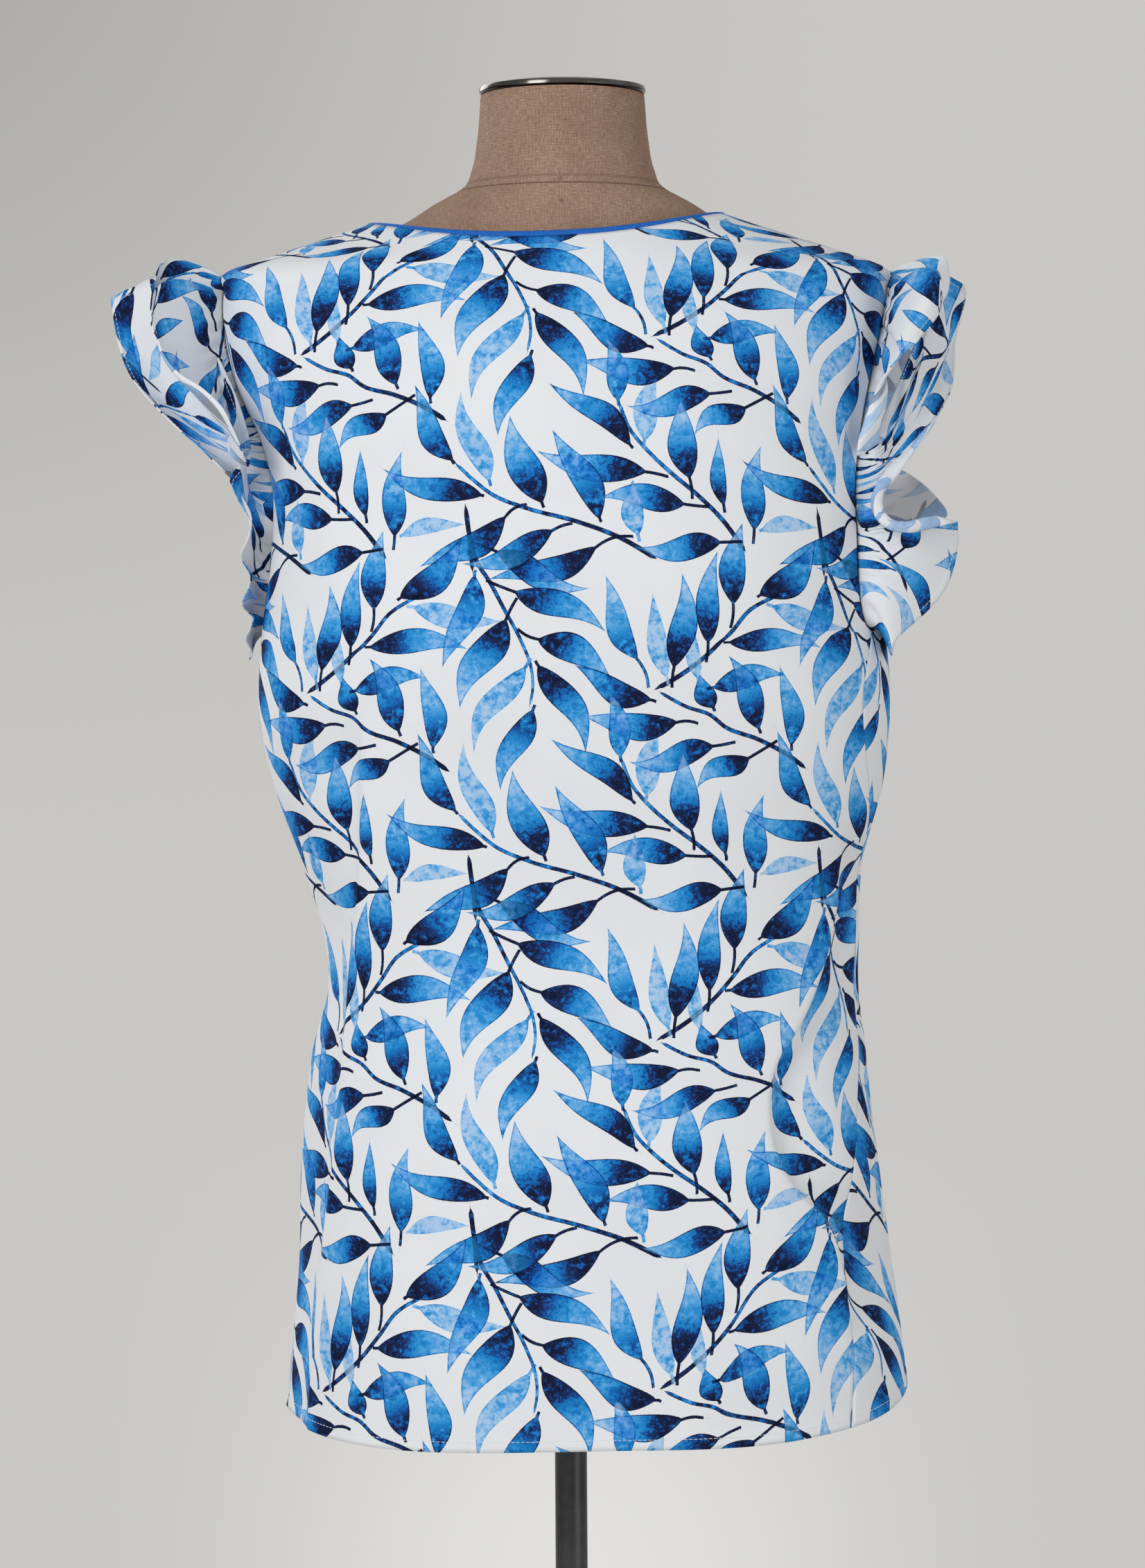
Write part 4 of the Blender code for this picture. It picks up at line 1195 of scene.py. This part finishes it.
def printed_cloth():
    made, nodes, shader = new_material("printed_cloth_look")
    flat = nodes.add("UVMap", uv_map="flat")
    blot = nodes.noise("ink blots", flat)
    pools = nodes.step(nodes.noise("ink pools", flat), 0.5, 0.56)
    tone_noise = blot * 5.2 - 2.8 + pools * 0.45
    edge_noise = nodes.noise("ink edge", flat) * 0.6 - 0.3
    colour = nodes.mix(nodes.step(nodes.noise("cloth cloud", flat), 0.35, 0.7), CLOTH_COLOUR, CLOTH_CLOUD)
    for layer in range(STEM_LAYERS):
        across, half, tone = nodes.attribute(f"stem_{layer}")
        edge = half - abs(across) + edge_noise
        outline = 1 - nodes.step(edge, 0.2, 0.7)
        colour = inked(nodes, colour, edge, outline * 0.2 + (tone_noise * 0.4 + tone))
    for layer in range(LEAF_LAYERS):
        s, t, half = nodes.attribute(f"leaf_{layer}")
        base_tone, tip_tone, stalk = nodes.attribute(f"leaf_tone_{layer}")
        along = s.at_least(0).at_most(1) ** LEAF_BELLY
        width = (along * math.pi).sine().at_least(0) ** LEAF_POINT * half
        on_stalk = nodes.math("GREATER_THAN", s + stalk, 0) * nodes.math("LESS_THAN", s, 0.15)
        edge = width.at_least(on_stalk * STALK_HALF) - abs(t) + edge_noise
        wet = tone_noise * 0.22 + s
        fade = nodes.step(wet, 0.26, 0.42) * 0.55 + nodes.step(wet, 0.35, 1) * 0.45
        tone = tone_noise * 0.38 + ((tip_tone - base_tone) * fade + base_tone)
        outline = 1 - nodes.step(edge, 0.15, 1)
        colour = inked(nodes, colour, edge, outline * (base_tone * 0.35 + 0.06) + tone)
    colour = nodes.mix(nodes.attribute("wrong_side")[0] * 0.42, colour, WRONG_SIDE)
    normal, height = weave(nodes, flat, WEAVE_PITCH, 0.12, 0.06 * MM)
    # painted shade in the weave's hollows, between the threads
    colour = nodes.mix((1 - height) * 0.1, colour, (0.6, 0.65, 0.72), "MULTIPLY")
    nodes.feed(shader, {"Base Color": colour, "Normal": normal, "Roughness": 0.82})
    shader.inputs["Specular IOR Level"].default_value = 0.08
    return made


def strip_cloth():
    made, nodes, shader = new_material("blue_binding_look")
    flat = nodes.add("UVMap", uv_map="flat")
    slub = nodes.noise("strip slub", flat)
    colour = nodes.ramp(slub, [(0.3, srgb("1456AE")), (0.55, srgb("1768C6")), (0.75, srgb("277CD8"))])
    normal, _ = weave(nodes, flat, WEAVE_PITCH, 0.25, 0.08 * MM)
    nodes.feed(shader, {"Base Color": colour, "Normal": normal, "Roughness": 0.65})
    shader.inputs["Specular IOR Level"].default_value = 0.3
    return made


def sewing_thread(name, dark, light):
    made, nodes, shader = new_material(name)
    place = nodes.add("TexCoord", output="Object")
    twist = nodes.add("TexWave", {"Vector": place, "Scale": 900, "Distortion": 2}, "Fac")
    colour = nodes.ramp(twist, [(0.2, srgb(dark)), (0.8, srgb(light))])
    nodes.feed(shader, {"Base Color": colour, "Roughness": 0.6})
    return made


def canvas():
    made, nodes, shader = new_material("linen_canvas_look")
    flat = nodes.add("UVMap", uv_map="flat")
    stretched = [nodes.add("Mapping", {"Vector": flat, "Scale": by}) for by in ((0.25, 2, 1), (2, 0.25, 1))]
    weft, warp = (nodes.noise("canvas slub", place) for place in stretched)
    slubs = [(0.34, srgb("9C7A66")), (0.5, srgb("C8A690")), (0.64, srgb("E8CCB6"))]
    colour = nodes.ramp((weft + warp) * 0.5, slubs)
    cloud = nodes.noise("canvas cloud", flat)
    shade = nodes.mix(1, colour, (0.80, 0.76, 0.74), "MULTIPLY")
    colour = nodes.mix(nodes.step(cloud, 0.35, 0.75), colour, shade)
    normal, height = weave(nodes, flat, CANVAS_PITCH, 0.8, 0.3 * MM)
    # painted shade in the weave's hollows, between the threads
    colour = nodes.mix((1 - height) * 0.7, colour, srgb("6B4F43"))
    x, _, z = nodes.parts(nodes.add("TexCoord", output="Object"))
    # dark lines along the seam and the turned-in canvas's edge: painted shade in their grooves
    for seam, half, strength in ((NECK_SEAM_Z, 0.8 * MM, 0.55), (NECK_FOLD_Z, 1.4 * MM, 0.3)):
        line = 1 - nodes.step(abs(z - (DATUM_Z + seam)), 0.2 * half, half)
        colour = nodes.mix(line * strength, colour, srgb("5E4238"))
    for mark_x, mark_z in NECK_MARKS:
        away = (x - mark_x * MM) ** 2 + (z - (DATUM_Z + mark_z * MM)) ** 2
        away = cloud * (2.4 * MM) + nodes.math("SQRT", away)
        mark = 1 - nodes.step(away, 1.4 * MM, 3.4 * MM)
        colour = nodes.mix(mark * 0.5, colour, srgb("6A3F44"))
    nodes.feed(shader, {"Base Color": colour, "Normal": normal, "Roughness": 0.9})
    shader.inputs["Specular IOR Level"].default_value = 0.2
    return made


def chrome():
    made, nodes, shader = new_material("dark_chrome_look")
    place = nodes.add("TexCoord", output="Object")
    wear = nodes.noise("chrome wear", place)
    colour = nodes.ramp(wear, [(0.3, (0.10, 0.095, 0.09)), (0.7, (0.19, 0.18, 0.175))])
    height = nodes.parts(place)[2] - (DATUM_Z + FORM_NECK_Z + CAP_PAINTED_SHADE)
    height = nodes.noise("cap shade edge", place) * (4 * MM) + height
    bright = nodes.step(height, 1.7 * MM, 2.3 * MM)  # painted shade, black and uneven, along the rim's lower edge
    colour = nodes.mix(bright, (0.004, 0.004, 0.004), colour)
    nodes.feed(shader, {"Base Color": colour, "Roughness": wear * 0.14 + 0.10, "Metallic": 1.0})
    return made


def lacquer():
    made, nodes, shader = new_material("black_steel_look")
    wear = nodes.noise("lacquer wear", nodes.add("TexCoord", output="Object"))
    colour = nodes.ramp(wear, [(0.35, (0.03, 0.03, 0.032)), (0.75, (0.068, 0.068, 0.073))])
    nodes.feed(shader, {"Base Color": colour, "Roughness": wear * 0.22 + 0.22, "Metallic": 0.4})
    return made


def stitches(name, path, normals, material, slot, pitch=2.9 * MM, length=2.3 * MM, radius=0.2 * MM):
    """A row of sewn stitches lying on a line of points, as one mesh of short rounded threads."""
    run = arc_lengths(path, 0)
    starts = np.arange(pitch / 2, run[-1] - length, pitch)
    sides, stations = 5, np.array([0.0, 0.18, 0.5, 0.82, 1.0])
    swell = np.array([0.25, 0.85, 1.0, 0.85, 0.25])

    def at(where, values):
        return np.stack([np.interp(where, run, values[:, k]) for k in range(3)], axis=-1)

    along = starts[:, None] + stations * length
    centre = at(along, path)
    up = unit(at(along, normals))
    aside = np.cross(unit(np.gradient(centre, axis=1)), up)
    centre = centre + up * (radius * 0.7 * np.sin(np.pi * stations))[None, :, None]
    turn = np.arange(sides) * math.tau / sides
    ringed = aside[:, :, None] * np.cos(turn)[:, None] + up[:, :, None] * np.sin(turn)[:, None]
    points = centre[:, :, None] + radius * swell[None, :, None, None] * ringed
    count, rows = len(starts), len(stations)
    first = np.arange(count)[:, None, None] * rows * sides
    k = np.arange(rows - 1)[None, :, None] * sides
    i = np.arange(sides)[None, None, :]
    j = (i + 1) % sides
    faces = np.stack([first + k + i, first + k + j, first + k + sides + j, first + k + sides + i], axis=-1)
    faces = faces.reshape(-1, 4).tolist()
    for start in range(count):
        low = start * rows * sides
        faces.append([low + s for s in range(sides)][::-1])
        faces.append([low + (rows - 1) * sides + s for s in range(sides)])
    mesh = bpy.data.meshes.new(name)
    mesh.from_pydata(points.reshape(-1, 3).tolist(), [], faces)
    made = piece(name, mesh, material)


# The studio: a plain floor, a backdrop of soft greys and three lights, each with its place, the point
# that it faces, its size in metres and its power in watts.
FLOOR_RADIUS = 3.2
FLOOR_COLOUR = (0.62, 0.61, 0.59)
BACKDROP_GREY, CORNER_GREY, POOL_GREY = srgb("C8C7C4"), srgb("ACABA8"), srgb("E2E1DF")
STUDIO_DIM = 0.82  # how bright the rest of the studio is beside the backdrop
LIGHTS = {
    "key": ((-1.9, -2.6, 2.1), (0, 0, 1.0), (1.4, 2.0), 54),
    "fill": ((2.3, -2.2, 0.9), (0, 0, 0.95), (1.6, 2.0), 19),
    "back_key": ((-1.8, 2.4, 2.2), (0, 0, 1.05), (1.6, 2.0), 26),
}


def backdrop(nodes):
    """The colour of the studio round the object, by direction."""
    across, ahead, up = nodes.parts(nodes.add("TexCoord", output="Generated"))
    leftward = 1 - nodes.step(across, -0.13, 0.06)
    corner = nodes.step(up, -0.02, 0.16) * leftward  # the light falls off towards the upper left
    colour = nodes.mix(corner, BACKDROP_GREY, CORNER_GREY)
    aside = nodes.step(abs(across), 0, 0.09)
    above = nodes.step(up, -0.14, -0.05)
    colour = nodes.mix((1 - aside) * (1 - above), colour, POOL_GREY)  # and it pools low in the middle
    lit = nodes.step(ahead, 0.75, 0.95)
    return nodes.mix(lit, nodes.mix(1, colour, (STUDIO_DIM,) * 3, "MULTIPLY"), colour)


def stage():
    """A plain pale floor, the studio's light and the camera at the photo's angle."""
    mesh = bpy.data.meshes.new("floor")
    turn = np.linspace(0, math.tau, 96, endpoint=False)
    points = [(FLOOR_RADIUS * math.cos(a), FLOOR_RADIUS * math.sin(a), 0) for a in turn]
    mesh.from_pydata(points, [], [list(range(len(points)))])
    floor = linked("floor", mesh)
    made, nodes, shader = new_material("pale_floor")
    nodes.feed(shader, {"Base Color": FLOOR_COLOUR, "Roughness": 0.8})
    mesh.materials.append(made)

    bpy.context.scene.view_settings.view_transform = "Standard"
    world = bpy.data.worlds.new("studio")
    world.use_nodes = True
    bpy.context.scene.world = world
    nodes = Nodes(world.node_tree)
    nodes.feed(world.node_tree.nodes["Background"], {"Color": backdrop(nodes), "Strength": 1.0})

    for name, (place, target, size, power) in LIGHTS.items():
        light = bpy.data.lights.new(name, "AREA")
        light.shape = "RECTANGLE"
        light.size, light.size_y = size
        light.energy = power
        lamp = linked(name, light)
        lamp.location = place
        direction = Vector(target) - Vector(place)
        lamp.rotation_euler = direction.to_track_quat("-Z", "Y").to_euler()

    camera = bpy.data.cameras.new("camera")
    camera.sensor_fit = "VERTICAL"
    camera.sensor_height = SENSOR
    camera.sensor_width = SENSOR
    camera.lens = LENS
    view = linked("camera", camera)
    view.location = (CAMERA_X, -CAMERA_DISTANCE, DATUM_Z)
    view.rotation_euler = (math.pi / 2, CAMERA_ROLL, 0)
    bpy.context.scene.camera = view


def main():
    printed = printed_cloth()
    back, *back_hem = panel("back", printed)
    front, *front_hem = panel("front", printed)
    left, *left_hem = ruffle("left", LEFT_RUFFLE, printed)
    right, *right_hem = ruffle("right", RIGHT_RUFFLE, printed)
    thread = sewing_thread("sewing_thread_look", "DDE2E8", "F6F8FA")
    stitches("back_hem_stitches", *back_hem, thread, "printed_cloth")
    stitches("front_hem_stitches", *front_hem, thread, "printed_cloth")
    stitches("ruffle_stitches_left", *left_hem, thread, "printed_cloth")
    stitches("ruffle_stitches_right", *right_hem, thread, "printed_cloth")
    strip = binding(strip_cloth())
    neck_seam = torso_cover(canvas())
    brown = sewing_thread("neck_thread_look", "4E342C", "7A5A4A")
    stitches("neck_seam_stitches", *neck_seam, brown, "linen_canvas", pitch=2.6 * MM, length=1.7 * MM)
    neck_disc(chrome())
    steel = lacquer()
    pole_tube(steel)
    base_plate(steel)
    stage()


main()
